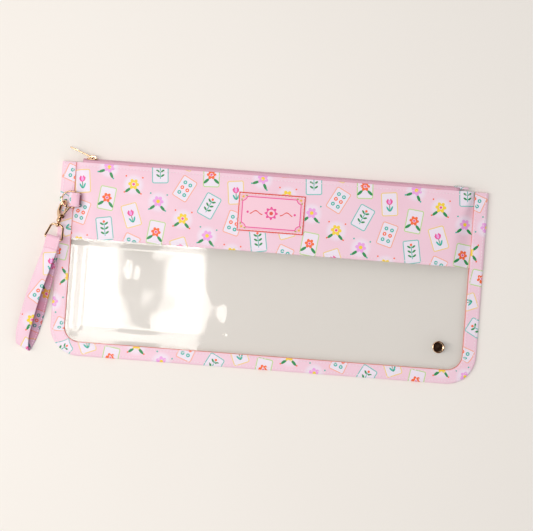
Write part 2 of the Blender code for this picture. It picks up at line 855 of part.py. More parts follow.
def swivel_eye(carrier, material):
    """The frame that holds the strap, with a boss round the post."""
    top = boss_start + boss_length / 2
    bar = eye_bar_reach
    narrow = eye_half_width - eye_top_corner / 2
    loop = arc((top + eye_top_corner, narrow - eye_top_corner), eye_top_corner, math.pi / 2, math.pi, 4)
    loop = loop[::-1]
    loop = [(x, -y) for x, y in loop]
    corner = (bar - eye_bar_corner, -eye_half_width + eye_bar_corner)
    low = arc(corner, eye_bar_corner, -math.pi / 2, 0, 4)
    half_loop = loop + low
    centres = half_loop + [(x, -y) for x, y in reversed(half_loop)]
    widths = [eye_wire] * len(centres)
    rings = oval_bar(centres, widths, widths, wire_steps, closed=True)
    eye = piece("swivel_eye", *skin(rings, closed=True), material, carrier)
    boss_end = boss_start + boss_length
    edge = eye_wire / 3
    boss = [(0, boss_start), (boss_radius - edge, boss_start), (boss_radius, boss_start + edge)]
    boss += [(boss_radius, boss_end - edge), (boss_radius - edge, boss_end), (0, boss_end)]
    combine(eye, "UNION", "boss_shape", turned(boss, barrel_steps))
    bore = post_radius + turn_clear
    ends = (boss_start - boss_length, boss_end + boss_length)
    hole = [(0, ends[0]), (bore, ends[0]), (bore, ends[1]), (0, ends[1])]
    combine(eye, "DIFFERENCE", "post_bore", turned(hole, barrel_steps))


def wrist_strap(carrier, bar_height, material):
    """One strip sewn into a loop round the eye's bar, its two layers bowed apart."""
    thick = strap_thickness
    half_neck = strap_thickness
    length = strap_length

    def lower_side(s):
        fallen = min(along_table(strap_fall, s / length), 1.0)
        return -half_neck - (bar_height - half_neck) * fallen

    def parting(s):
        return max(strap_opening * along_table(strap_parting, s / length), 0)

    stations = [strap_seam + (length - strap_opening - strap_seam) * step / strap_steps
                for step in range(strap_steps + 1)]
    inner = strap_clear + eye_wire
    outer = inner + thick
    fold_s = stations[-1]
    fold_gap = parting(fold_s)
    fold_z = lower_side(fold_s) + thick + fold_gap / 2
    outline = arc((0, 0), outer, math.radians(60), math.radians(300), 12)
    outline += [(strap_neck, -half_neck)]
    outline += [(s, lower_side(s)) for s in stations[:-1]]
    outline += arc((fold_s, fold_z), fold_gap / 2 + thick, -math.pi / 2, math.pi / 2, strap_fold_steps)
    top = [(s, lower_side(s) + 2 * thick + parting(s)) for s in stations]
    outline += top[-2:0:-1]
    outline += [(strap_seam, lower_side(strap_seam) + 2 * thick)]
    outline += [(strap_seam - strap_flap, lower_side(strap_seam) + 2 * thick + strap_flap)]
    outline += [(strap_neck, half_neck + strap_flap)]
    bar_hole = arc((0, 0), inner, 0, math.tau, 16)[:-1]
    wrist_hole = [(strap_seam + thick, lower_side(strap_seam + thick) + thick)]
    wrist_hole += [(s, lower_side(s) + thick) for s in stations[2:-1]]
    wrist_hole += arc((fold_s, fold_z), fold_gap / 2, -math.pi / 2, math.pi / 2, strap_fold_steps)
    wrist_hole += [(s, lower_side(s) + thick + parting(s)) for s in stations[-2:1:-1]]
    flat, faces = prism(outline, -1, 1, [bar_hole, wrist_hole])
    points = []
    for s, z, side in flat:
        share = s / length
        middle = lower_side(s) + thick + parting(s) / 2
        upper = smooth((z - middle) / (thick + parting(s)) + 0.5) if s > 0 else 0.5
        drift = along_table(lower_drift, max(share, 0))
        drift += (along_table(upper_drift, max(share, 0)) - drift) * upper
        slant = side * strap_width / 2 * strap_fold_slant * smooth(4 * share - 3)
        points.append((s + slant, side * strap_width / 2 + drift * strap_width, z))
    piece("wrist_strap", points, faces, material, carrier)


def stud(window, material):
    """The stud's cap and post through the window, and the washer behind it."""
    y = bottom_y + stud_above_bottom
    top = front_window_z(stud_x, y) + window_thickness
    frame = frame_at(Vector((stud_x, y, top + seam_gap)), Vector((0, 0, 1)), Vector((1, 0, 0)))
    washer_top = -seam_gap * 2 - window_thickness
    washer_low = washer_top - stud_washer_thickness
    radius = stud_post_radius
    profile = [(0, washer_low), (radius, washer_low), (radius, 0), (stud_radius, 0)]
    profile += [(stud_radius, stud_height - stud_dish), (stud_radius - stud_dish, stud_height)]
    profile += [(stud_radius - stud_rim, stud_height)]
    profile += [(stud_radius - stud_rim - stud_dish, stud_height - stud_dish)]
    profile += [(0, stud_height - stud_dish)]
    cap = piece("stud_cap", *turned(profile, stud_steps), material)
    cap.matrix_basis = frame
    hole = radius + stud_hole_clear
    ring = [(hole, washer_low), (stud_washer_radius, washer_low)]
    ring += [(stud_washer_radius, washer_top), (hole, washer_top)]
    washer = piece("stud_washer", *turned(ring, stud_steps), material)
    washer.matrix_basis = frame
    cutter = [(0, washer_low), (hole, washer_low), (hole, stud_height), (0, stud_height)]
    combine(window, "DIFFERENCE", "stud_hole", turned(cutter, wire_steps * 2), frame)


def build():
    clear_scene()
    vinyl = surface("clear_vinyl", (0.93, 0.91, 0.87), 0.12, 0.0, 0.25)
    print_pink = surface("printed_pink_vinyl", (0.93, 0.60, 0.72), 0.45, 0.0)
    label = surface("label_vinyl", (0.95, 0.66, 0.76), 0.4, 0.0)
    rose_tape = surface("rose_zip_tape", (0.62, 0.30, 0.42), 0.85, 0.0)
    teeth = surface("rose_zip_teeth", (0.55, 0.26, 0.36), 0.45, 0.0)
    gold = surface("polished_gold", (0.83, 0.60, 0.32), 0.18, 1.0)

    panel("back_band", band_rows(), back_band_z, band_thickness, print_pink)
    panel("back_window", window_rows(), back_window_z, window_thickness, vinyl)
    front_window = panel("front_window", window_rows(), front_window_z, window_thickness, vinyl)
    panel("front_band", band_rows(), front_band_z, band_thickness, print_pink)
    edge_binding(print_pink)
    label_patch(label)
    stud(front_window, gold)

    for word, side in (("front", 1), ("back", -1)):
        zip_tape(f"zipper_tape_{word}", side, rose_tape)
        teeth_row(f"zipper_teeth_{word}", side, teeth)
    stop_x = chain_start - seam_gap - stop_length
    zip_stop("zipper_top_stop_front", stop_x, stop_length, -stop_outer, -stop_inner, teeth)
    zip_stop("zipper_top_stop_back", stop_x, stop_length, stop_inner, stop_outer, teeth)
    bottom_x = chain_start + chain_length + seam_gap
    zip_stop("zipper_bottom_stop", bottom_x, bottom_stop_length, -stop_outer, stop_outer, teeth)
    zip_end_tab(print_pink)

    slider_carrier = pivot("slider_carrier", zip_frame(slider_x))
    zip_slider(slider_carrier, gold)
    hinge = Matrix.Translation((0, 0, pull_height)) @ Matrix.Rotation(pull_lean, 4, "Y")
    zip_pull(pivot("pull_pivot", hinge, slider_carrier), gold)

    tab_loop(print_pink)
    ring_frame = tab_frame() @ Matrix.Rotation(ring_tilt, 4, "Y")
    ring_pivot = pivot("ring_pivot", ring_frame)
    tab_ring(ring_pivot, gold)
    clasp_place = clasp_frame(ring_frame)
    clasp_pivot = pivot("clasp_pivot", ring_frame.inverted() @ clasp_place, ring_pivot)
    tilt = Matrix.Rotation(clasp_tilt, 4, "X")
    hook_carrier = pivot("hook_carrier", tilt, clasp_pivot)
    clasp_body(hook_carrier, gold)
    gate_pin(hook_carrier, gold)
    gate_spring(hook_carrier, gold)
    gate_place = Matrix.Translation((gate_pivot_reach, gate_pivot_side, 0))
    clasp_gate(pivot("gate_pivot", gate_place, hook_carrier), gold)

    eye_pivot = pivot("eye_pivot", Matrix(), clasp_pivot)
    swivel_post(eye_pivot, gold)
    swivel_eye(eye_pivot, gold)
    bar = clasp_place @ Vector((eye_bar_reach, 0, 0))
    level = frame_at(bar, Vector((clasp_place.col[0].x, clasp_place.col[0].y, 0)), clasp_place.col[1].xyz)
    strap_pivot = pivot("strap_pivot", clasp_place.inverted() @ level, eye_pivot)
    wrist_strap(strap_pivot, bar.z, print_pink)


build()
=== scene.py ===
import math

import bmesh
import bpy
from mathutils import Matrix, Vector, noise


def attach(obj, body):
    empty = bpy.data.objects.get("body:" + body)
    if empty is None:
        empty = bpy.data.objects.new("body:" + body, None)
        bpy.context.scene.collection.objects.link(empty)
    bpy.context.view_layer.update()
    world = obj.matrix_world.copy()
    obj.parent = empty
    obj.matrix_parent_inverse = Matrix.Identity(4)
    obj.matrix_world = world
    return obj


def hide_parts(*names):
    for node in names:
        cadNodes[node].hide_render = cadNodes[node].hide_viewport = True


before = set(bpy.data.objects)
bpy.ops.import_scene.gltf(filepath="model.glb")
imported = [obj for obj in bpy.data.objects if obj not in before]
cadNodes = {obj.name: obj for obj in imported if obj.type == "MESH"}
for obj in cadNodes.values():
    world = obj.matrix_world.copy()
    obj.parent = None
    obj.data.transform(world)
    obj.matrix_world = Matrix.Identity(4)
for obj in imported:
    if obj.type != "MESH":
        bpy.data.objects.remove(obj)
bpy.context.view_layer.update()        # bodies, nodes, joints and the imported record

mm = 0.001


# Small helpers

def toLinear(hexCode, alpha=1.0):
    channels = [int(hexCode[at:at + 2], 16) / 255 for at in (1, 3, 5)]
    linear = [c / 12.92 if c <= 0.04045 else ((c + 0.055) / 1.055) ** 2.4 for c in channels]
    return (*linear, alpha)


sumsMade = {}


def addNode(tree, kind, inputs=None, **settings):
    # an input is a value, a socket, or a sum such as ("ADD", socket, 1.0), which gets its own node once
    node = tree.nodes.new(kind)
    for key, value in settings.items():
        setattr(node, key, value)
    for key, value in (inputs or {}).items():
        if isinstance(value, tuple) and isinstance(value[0], str):
            if value not in sumsMade:
                terms = dict(enumerate(value[1:]))
                sumsMade[value] = addNode(tree, "ShaderNodeMath", terms, operation=value[0]).outputs[0]
            value = sumsMade[value]
        if isinstance(value, bpy.types.NodeSocket):
            tree.links.new(value, node.inputs[key])
        else:
            node.inputs[key].default_value = value
    return node


def paint(tree, under, mask, over):
    # one colour laid over another, as far as the mask says
    under, over = (toLinear(colour) if isinstance(colour, str) else colour for colour in (under, over))
    return addNode(tree, "ShaderNodeMix", {0: mask, 6: under, 7: over}, data_type="RGBA").outputs[2]


def smoothStep(value):
    value = min(max(value, 0.0), 1.0)
    return value * value * (3 - 2 * value)


def ripple(x, y, size, seed):
    return noise.noise(Vector((x / size, y / size, seed)))


def alongTable(table, place):
    # a smooth curve through (place, value) pairs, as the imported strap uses
    last = len(table) - 1
    step = 0
    while step < last - 1 and place > table[step + 1][0]:
        step += 1
    start, end = table[step], table[step + 1]
    before, after = table[max(step - 1, 0)], table[min(step + 2, last)]
    span = end[0] - start[0]
    leave = (end[1] - before[1]) / (end[0] - before[0]) * span
    arrive = (after[1] - start[1]) / (after[0] - start[0]) * span
    t = min(max((place - start[0]) / span, 0.0), 1.0)
    rest = 1 - t
    ends = start[1] * rest * rest * (1 + 2 * t) + end[1] * t * t * (1 + 2 * rest)
    return ends + leave * t * rest * rest - arrive * t * t * rest


def makePiece(name, points, faces, material, uv=None):
    # points and uv are in millimetres; the uv map is called print
    mesh = bpy.data.meshes.new(name)
    mesh.from_pydata([Vector(p) * mm for p in points], [], faces)
    mesh.materials.append(material)
    if uv:
        layer = mesh.uv_layers.new(name="print")
        for loop in mesh.loops:
            layer.data[loop.index].uv = uv[loop.vertex_index]
    mesh.polygons.foreach_set("use_smooth", [True] * len(mesh.polygons))
    made = bpy.data.objects.new(name, mesh)
    bpy.context.scene.collection.objects.link(made)
    fixed = bmesh.new()
    fixed.from_mesh(mesh)
    bmesh.ops.recalc_face_normals(fixed, faces=fixed.faces)
    fixed.to_mesh(mesh)
    fixed.free()
    return made


def soften(made, width, angle=50):
    # a small rounded edge, kept as a live modifier
    bevel = made.modifiers.new("softEdge", "BEVEL")
    bevel.width = width * mm
    bevel.segments = 2
    bevel.limit_method = "ANGLE"
    bevel.angle_limit = math.radians(angle)
    return made


def settle(made):
    # turns the evaluated shape into plain mesh and drops the modifiers
    bpy.context.view_layer.update()
    evaluated = made.evaluated_get(bpy.context.evaluated_depsgraph_get())
    mesh = bpy.data.meshes.new_from_object(evaluated)
    made.modifiers.clear()
    made.data = mesh
    mesh.name = made.name
    return made


# The pouch's main sizes in millimetres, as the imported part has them

pouch = {
    "halfLength": 196.5,
    "bottom": -90.5,
    "fold": 87.2,
    "puff": 6.5,
    "cornerRadius": 27.0,
    "panelInset": 2.8,
    "bandBottom": 17.5,
    "windowTop": 25.5,
    "bindingWidth": 13.0,
    "sideRun": 17.5,
    "mouthRun": 4.5,
    "runChange": 45.0,
    "bottomRun": 14.5,
    "liftRun": 7.5,
    "freeRun": 72.0,
    "slackRun": 32.0,
    "bandStep": 1.0,
    "backLevel": 1.0,
    "frontLevel": 1.8,
    "windowThickness": 0.5,
    "bandThickness": 0.7,
    "gap": 0.3,
}
panelHalf = pouch["halfLength"] - pouch["panelInset"]
panelBottom = pouch["bottom"] + pouch["panelInset"]
panelCorner = pouch["cornerRadius"] - pouch["panelInset"]
runStart = pouch["halfLength"] - pouch["bindingWidth"]


def liftOver(y):
    return pouch["bandStep"] * smoothStep((y - pouch["bandBottom"]) / pouch["liftRun"] + 1)


def insideShare(x, y):
    change = smoothStep((y - pouch["fold"]) / pouch["runChange"] + 1)
    run = pouch["sideRun"] + (pouch["mouthRun"] - pouch["sideRun"]) * change
    fromSide = smoothStep((runStart - abs(x)) / run)
    fromBottom = smoothStep((y - pouch["bottom"] - pouch["bindingWidth"]) / pouch["bottomRun"])
    return fromSide * fromBottom


def windowShare(x, y):
    # the free sheet lies slack at the left, so it rises over a longer run there
    share = insideShare(x, y)
    fromLeft = runStart + x
    if fromLeft < pouch["slackRun"]:
        taut = smoothStep(fromLeft / pouch["sideRun"])
        share *= smoothStep(fromLeft / pouch["slackRun"]) / max(taut, 0.001)
    return share


def frontWindowZ(x, y):
    # the step up to the band is short under the binding and long where the sheet is free
    inside = windowShare(x, y)
    freeLift = pouch["bandStep"] * smoothStep((y - pouch["bandBottom"]) / pouch["freeRun"] + 1)
    lift = liftOver(y) + (freeLift - liftOver(y)) * inside
    return pouch["frontLevel"] + lift + pouch["puff"] * inside


def frontBandZ(x, y):
    level = pouch["frontLevel"] + pouch["bandStep"] + pouch["windowThickness"] + pouch["gap"]
    return level + pouch["puff"] * insideShare(x, y)


def backBandZ(x, y):
    return pouch["backLevel"] * (1 - insideShare(x, y))


def backWindowZ(x, y):
    return backBandZ(x, y) + liftOver(y)


def panelOutline(y):
    # half the sheet's length at this height, round at the two lower corners
    up = y - panelBottom
    if up >= panelCorner:
        return panelHalf
    return panelHalf - panelCorner + math.sqrt(max(panelCorner ** 2 - (panelCorner - up) ** 2, 0))


def slab(name, lower, across, thickness, material, uv):
    # a thin closed sheet over a grid of lower points, with this many points in a row
    count = len(lower)
    points = lower + [(x, y, z + thickness) for x, y, z in lower]
    faces = []
    for first in range(0, count - across, across):
        for a in range(first, first + across - 1):
            b = a + across
            faces.append((a, b, b + 1, a + 1))
            faces.append((a + count, a + 1 + count, b + 1 + count, b + count))
    rim = list(range(across))
    rim += range(2 * across - 1, count, across)
    rim += [count - 1 - column for column in range(1, across)]
    rim += range(count - 2 * across, 0, -across)
    for this, after in zip(rim, rim[1:] + rim[:1]):
        faces.append((this, after, after + count, this + count))
    return makePiece(name, points, faces, material, uv * 2)


def panelSheet(name, ys, columns, low, thickness, material):
    lower = []
    for y in ys:
        half = panelOutline(y)
        lower += [(half * share, y, low(half * share, y)) for share in columns]
    return slab(name, lower, len(columns), thickness, material, [(x, y) for x, y, z in lower])


def evenSteps(start, end, size):
    count = max(1, round(abs(end - start) / size))
    return [start + (end - start) * step / count for step in range(count + 1)]


# The print: a tossed layout of plain game tiles and daisies on pink, one cell for each motif

artwork = {
    "columnWidth": 23.5,
    "rowHeight": 28.0,
    "repeatColumns": 6,
    "repeatRows": 6,
    "maxTurn": 0.5,
    "tileHalfWidth": 7.1,
    "tileHalfHeight": 10.4,
    "tileCorner": 1.5,
    "outline": 0.42,
    "ground": "#F9D7E7",
    "groundDeep": "#F5CADC",
    "cloud": "#F3E8F7",
    "tileOutlines": ("#FBAE94", "#6CC8BF", "#F7D480", "#BFE08F"),
    "orange": "#FF6D35",
    "yellow": "#FBD838",
    "lilac": "#F2A8EA",
    "magenta": "#F2549F",
    "green": "#1E9450",
    "teal": "#2CBBAA",
}


def within(distance, limit):
    return ("LESS_THAN", distance, limit)


def both(a, b):
    return ("MULTIPLY", a, b)


def lengthOf(x, y):
    return ("SQRT", ("ADD", ("MULTIPLY", x, x), ("MULTIPLY", y, y)))


def disc(x, y, centreX, centreY, radius):
    return within(lengthOf(("SUBTRACT", x, centreX), ("SUBTRACT", y, centreY)), radius)


def leaf(x, y, centreX, centreY, turn, long, wide):
    # an ellipse with its long side turned by this angle
    dx, dy = ("SUBTRACT", x, centreX), ("SUBTRACT", y, centreY)
    cosine, sine = math.cos(turn), math.sin(turn)
    along = ("ADD", ("MULTIPLY", dx, cosine / long), ("MULTIPLY", dy, sine / long))
    side = ("ADD", ("MULTIPLY", dx, -sine / wide), ("MULTIPLY", dy, cosine / wide))
    return within(lengthOf(along, side), 1.0)


def artworkGroup():
    tree = bpy.data.node_groups.new("tossedTilesPrint", "ShaderNodeTree")
    tree.interface.new_socket(name="Place", in_out="INPUT", socket_type="NodeSocketVector")
    tree.interface.new_socket(name="Color", in_out="OUTPUT", socket_type="NodeSocketColor")
    start = addNode(tree, "NodeGroupInput")
    place = addNode(tree, "ShaderNodeSeparateXYZ", {0: start.outputs[0]})
    x, y = place.outputs[0], place.outputs[1]
    column = ("FLOOR", ("DIVIDE", x, artwork["columnWidth"]))
    odd = ("FLOORED_MODULO", column, 2.0)
    dropped = ("ADD", y, ("MULTIPLY", odd, artwork["rowHeight"] / 2))
    row = ("FLOOR", ("DIVIDE", dropped, artwork["rowHeight"]))
    cellX = ("SUBTRACT", x, ("MULTIPLY", ("ADD", column, 0.5), artwork["columnWidth"]))
    cellY = ("SUBTRACT", dropped, ("MULTIPLY", ("ADD", row, 0.5), artwork["rowHeight"]))
    repeated = {0: ("FLOORED_MODULO", column, float(artwork["repeatColumns"])),
                1: ("FLOORED_MODULO", row, float(artwork["repeatRows"]))}
    key = addNode(tree, "ShaderNodeCombineXYZ", repeated)
    chance = addNode(tree, "ShaderNodeTexWhiteNoise", {0: key.outputs[0]}, noise_dimensions="2D")
    rolls = addNode(tree, "ShaderNodeSeparateColor", {0: chance.outputs["Color"]})
    turn = ("MULTIPLY", ("SUBTRACT", rolls.outputs[0], 0.5), artwork["maxTurn"] * 2)
    cell = addNode(tree, "ShaderNodeCombineXYZ", {0: cellX, 1: cellY})
    turned = addNode(tree, "ShaderNodeVectorRotate", {"Vector": cell.outputs[0], "Angle": turn},
                     rotation_type="Z_AXIS")
    own = addNode(tree, "ShaderNodeSeparateXYZ", {0: turned.outputs[0]})
    qx, qy = own.outputs[0], own.outputs[1]
    ax, ay = ("ABSOLUTE", qx), ("ABSOLUTE", qy)
    kind = ("FLOORED_MODULO", ("ADD", column, ("MULTIPLY", row, 2.0)), 6.0)

    def isKind(number):
        return ("COMPARE", kind, float(number), 0.1)

    free = ("GREATER_THAN", kind, 3.5)
    tiled = ("SUBTRACT", 1.0, free)

    # pink ground with slow changes of tone, and a pale cloud behind each free flower
    tone = addNode(tree, "ShaderNodeTexNoise", {"Vector": start.outputs[0], "Scale": 0.02, "Detail": 1.0})
    ground = paint(tree, artwork["ground"], tone.outputs["Fac"], artwork["groundDeep"])
    fading = {0: lengthOf(cellX, cellY), 1: 6.0, 2: 11.0, 3: 0.75, 4: 0.0}
    cloudEdge = addNode(tree, "ShaderNodeMapRange", fading, interpolation_type="SMOOTHSTEP").outputs[0]
    colour = paint(tree, ground, both(cloudEdge, free), artwork["cloud"])

    # the plain tile: a rounded box with a thin coloured outline
    corner = artwork["tileCorner"]
    boxX = ("MAXIMUM", ("SUBTRACT", ax, artwork["tileHalfWidth"] - corner), 0.0)
    boxY = ("MAXIMUM", ("SUBTRACT", ay, artwork["tileHalfHeight"] - corner), 0.0)
    box = ("SUBTRACT", lengthOf(boxX, boxY), corner)
    colour = paint(tree, colour, both(within(box, 0.0), tiled), artwork["cloud"])
    outlines = addNode(tree, "ShaderNodeValToRGB", {0: ("DIVIDE", ("ADD", kind, 0.5), 4.0)})
    ramp = outlines.color_ramp
    ramp.interpolation = "CONSTANT"
    for number, hexCode in enumerate(artwork["tileOutlines"]):
        stop = ramp.elements[number] if number < 2 else ramp.elements.new(number / 4)
        stop.position = number / 4
        stop.color = toLinear(hexCode)
    edge = within(("ABSOLUTE", box), artwork["outline"])
    colour = paint(tree, colour, both(edge, tiled), outlines.outputs[0])

    # kind 0: six round pips in two columns
    pipRow = ("ROUND", ("DIVIDE", qy, 5.2))
    pipY = ("SUBTRACT", qy, ("MULTIPLY", pipRow, 5.2))
    pipDistance = lengthOf(("SUBTRACT", ax, 2.7), pipY)
    pips = both(both(within(pipDistance, 1.75), within(ay, 7.6)), isKind(0))
    colour = paint(tree, colour, pips, artwork["teal"])
    colour = paint(tree, colour, both(pips, within(("ABSOLUTE", pipRow), 0.5)), artwork["orange"])
    colour = paint(tree, colour, both(pips, within(pipDistance, 0.7)), artwork["cloud"])

    # kind 1: a sprig with paired leaves
    sprig = isKind(1)
    stem = both(within(("ABSOLUTE", qx), 0.35), within(ay, 6.6))
    colour = paint(tree, colour, both(stem, sprig), artwork["teal"])
    leafRow = ("ROUND", ("DIVIDE", qy, 4.2))
    leafY = ("SUBTRACT", qy, ("MULTIPLY", leafRow, 4.2))
    leaves = both(leaf(ax, leafY, 2.1, 0.5, 0.6, 1.9, 0.85), within(ay, 6.4))
    colour = paint(tree, colour, both(leaves, sprig), artwork["green"])
    colour = paint(tree, colour, both(disc(qx, qy, 0.0, 6.6, 1.15), sprig), artwork["orange"])

    # kind 2: a tulip with two long leaves
    tulip = isKind(2)
    stalk = both(within(("ABSOLUTE", qx), 0.35), within(("ABSOLUTE", ("ADD", qy, 3.0)), 3.8))
    colour = paint(tree, colour, both(stalk, tulip), artwork["green"])
    colour = paint(tree, colour, both(leaf(ax, qy, 1.7, -4.2, 1.1, 2.6, 0.8), tulip), artwork["teal"])
    zigzag = ("MULTIPLY", ("PINGPONG", qx, 1.35), 1.5)
    bloom = both(leaf(qx, qy, 0.0, 3.0, math.pi / 2, 3.6, 3.0), within(qy, ("ADD", zigzag, 3.3)))
    colour = paint(tree, colour, both(bloom, tulip), artwork["magenta"])
    heart = both(leaf(qx, qy, 0.0, 2.2, math.pi / 2, 2.0, 1.2), tulip)
    colour = paint(tree, colour, heart, artwork["lilac"])

    # kinds 3 to 5: a daisy, small on a tile and larger where it is free
    daisy = ("GREATER_THAN", kind, 2.5)
    scale = ("SUBTRACT", 1.0, ("MULTIPLY", free, 0.12))
    dx = ("MULTIPLY", qx, scale)
    dy = ("MULTIPLY", ("SUBTRACT", qy, 0.6), scale)
    freeLeaves = both(leaf(ax, qy, 4.6, -5.2, -0.75, 3.2, 1.25), daisy)
    colour = paint(tree, colour, freeLeaves, artwork["green"])
    angle = ("ARCTAN2", dy, dx)
    fold = math.tau / 6
    folded = ("SUBTRACT", angle, ("MULTIPLY", ("ROUND", ("DIVIDE", angle, fold)), fold))
    reach = lengthOf(dx, dy)
    petalX = ("SUBTRACT", ("MULTIPLY", reach, ("COSINE", folded)), 2.7)
    petalY = ("MULTIPLY", reach, ("SINE", folded))
    petals = both(within(lengthOf(petalX, ("MULTIPLY", petalY, 1.25)), 1.75), daisy)
    petalColour = addNode(tree, "ShaderNodeValToRGB", {0: ("DIVIDE", ("SUBTRACT", kind, 2.5), 3.0)})
    shades = petalColour.color_ramp
    shades.interpolation = "CONSTANT"
    for number, name in enumerate(("orange", "yellow", "lilac")):
        stop = shades.elements[number] if number < 2 else shades.elements.new(0.667)
        stop.position = number / 3
        stop.color = toLinear(artwork[name])
    colour = paint(tree, colour, petals, petalColour.outputs[0])
    colour = paint(tree, colour, both(within(reach, 1.5), daisy), artwork["cloud"])
    colour = paint(tree, colour, both(within(reach, 1.05), daisy), artwork["magenta"])
    colour = paint(tree, colour, both(both(within(reach, 1.5), isKind(5)), daisy), artwork["yellow"])

    # small dots at the corners of the free cells
    specks = within(lengthOf(("SUBTRACT", ax, 7.6), ("SUBTRACT", ay, 7.4)), 0.75)
    colour = paint(tree, colour, both(specks, isKind(4)), artwork["orange"])
    colour = paint(tree, colour, both(specks, isKind(5)), artwork["teal"])
    addNode(tree, "NodeGroupOutput", {0: colour})
    return tree


def newMaterial(name):
    material = bpy.data.materials.new(name)
    material.use_nodes = True
    tree = material.node_tree
    tree.nodes.clear()
    shader = addNode(tree, "ShaderNodeBsdfPrincipled")
    addNode(tree, "ShaderNodeOutputMaterial", {0: shader.outputs[0]})
    return material, tree, shader


def relief(tree, shader, height, strength, distance):
    depth = {"Height": height, "Strength": strength, "Distance": distance * mm}
    tree.links.new(addNode(tree, "ShaderNodeBump", depth).outputs[0], shader.inputs["Normal"])


def cloudedColour(tree, shader, place, scale, detail, light, dark):
    # a base colour that drifts between two tones; the drift is given back for the gloss
    cloud = addNode(tree, "ShaderNodeTexNoise", {"Vector": place, "Scale": scale, "Detail": detail})
    tree.links.new(paint(tree, light, cloud.outputs["Fac"], dark), shader.inputs["Base Color"])
    return cloud.outputs["Fac"]


def driftingGloss(tree, shader, drift, low, high):
    rough = addNode(tree, "ShaderNodeMapRange", {0: drift, 1: 0.3, 2: 0.7, 3: low, 4: high})
    tree.links.new(rough.outputs[0], shader.inputs["Roughness"])


def leatherSkin(tree, shader, place):
    # fine pebble grain about 0.8 mm across, and slow changes of gloss
    grain = addNode(tree, "ShaderNodeTexVoronoi", {"Vector": place, "Scale": 1.3}, feature="SMOOTH_F1")
    relief(tree, shader, grain.outputs["Distance"], 0.25, 0.06)
    sheen = addNode(tree, "ShaderNodeTexNoise", {"Vector": place, "Scale": 0.08, "Detail": 2.0})
    driftingGloss(tree, shader, sheen.outputs["Fac"], 0.4, 0.52)


def printedVinyl(name, group, cutEdge=None, shade=None):
    # printed polyurethane leather: satin skin; the binding's cut edge shows coral, and a shade colour, where
    # given, darkens the print as painted shade
    material, tree, shader = newMaterial(name)
    place = addNode(tree, "ShaderNodeUVMap", uv_map="print")
    colour = addNode(tree, "ShaderNodeGroup", {0: place.outputs[0]}, node_tree=group).outputs[0]
    if cutEdge is not None:
        split = addNode(tree, "ShaderNodeSeparateXYZ", {0: place.outputs[0]})
        colour = paint(tree, colour, ("GREATER_THAN", split.outputs[1], cutEdge), "#EE8A7C")
    # painted shade: the print multiplied with the shade colour
    if shade is not None:
        colourInputs = {0: 1.0, 6: colour, 7: toLinear(shade)}
        colour = addNode(tree, "ShaderNodeMix", colourInputs, data_type="RGBA", blend_type="MULTIPLY").outputs[2]
    tree.links.new(colour, shader.inputs["Base Color"])
    leatherSkin(tree, shader, place.outputs[0])
    return material


def plainVinyl(name, light, dark):
    # the same leather without its print
    material, tree, shader = newMaterial(name)
    place = addNode(tree, "ShaderNodeUVMap", uv_map="print").outputs[0]
    cloudedColour(tree, shader, place, 0.12, 2.0, light, dark)
    leatherSkin(tree, shader, place)
    return material


def clearVinyl():
    # pressed clear PVC: glossy, faintly cream, with soft haze
    material, tree, shader = newMaterial("clearPressedVinyl")
    place = addNode(tree, "ShaderNodeUVMap", uv_map="print").outputs[0]
    haze = cloudedColour(tree, shader, place, 0.03, 3.0, "#F8F1E6", "#F1E8DB")
    driftingGloss(tree, shader, haze, 0.03, 0.06)
    # a low alpha thins the gloss too, and the raised IOR brings it back to a clear sheet's
    shader.inputs["Alpha"].default_value = 0.036
    shader.inputs["IOR"].default_value = 5.2
    return material


def wovenTape():
    # woven polyester zip tape: dusty rose, with ribs and threads drawn coarse enough to show
    material, tree, shader = newMaterial("wovenZipTape")
    place = addNode(tree, "ShaderNodeUVMap", uv_map="print")
    split = addNode(tree, "ShaderNodeSeparateXYZ", {0: place.outputs[0]})
    ribPitch, threadPitch = 0.8, 0.6
    ribs = ("SINE", ("MULTIPLY", split.outputs[0], math.tau / ribPitch))
    threads = ("SINE", ("MULTIPLY", split.outputs[1], math.tau / threadPitch))
    weave = ("MULTIPLY", ribs, threads)
    tone = addNode(tree, "ShaderNodeMapRange", {0: weave, 1: -1.0, 2: 1.0, 3: 0.0, 4: 1.0})
    tree.links.new(paint(tree, "#DCA2B8", tone.outputs[0], "#EEBED0"), shader.inputs["Base Color"])
    shader.inputs["Roughness"].default_value = 0.8
    relief(tree, shader, weave, 0.5, 0.08)
    return material


def thread(name, light, dark):
    # polyester sewing thread: twisted, so its tone changes along each stitch
    material, tree, shader = newMaterial(name)
    place = addNode(tree, "ShaderNodeTexCoord").outputs["Object"]
    cloudedColour(tree, shader, place, 900.0, 1.0, light, dark)
    shader.inputs["Roughness"].default_value = 0.6
    return material


def polishedGold():
    # light gold plating on die-cast zinc: bright, with faint polishing marks
    material, tree, shader = newMaterial("polishedLightGold")
    place = addNode(tree, "ShaderNodeTexCoord").outputs["Object"]
    marks = cloudedColour(tree, shader, place, 400.0, 3.0, "#EBCBAA", "#DDB591")
    driftingGloss(tree, shader, marks, 0.1, 0.18)
    shader.inputs["Metallic"].default_value = 1.0
    return material


def mouldedTeeth():
    # moulded nylon zip teeth: dusty rose, slightly glossy
    material, tree, shader = newMaterial("mouldedNylonTeeth")
    place = addNode(tree, "ShaderNodeTexCoord").outputs["Object"]
    cloudedColour(tree, shader, place, 300.0, 2.0, "#C58AA4", "#B4758F")
    shader.inputs["Roughness"].default_value = 0.4
    return material


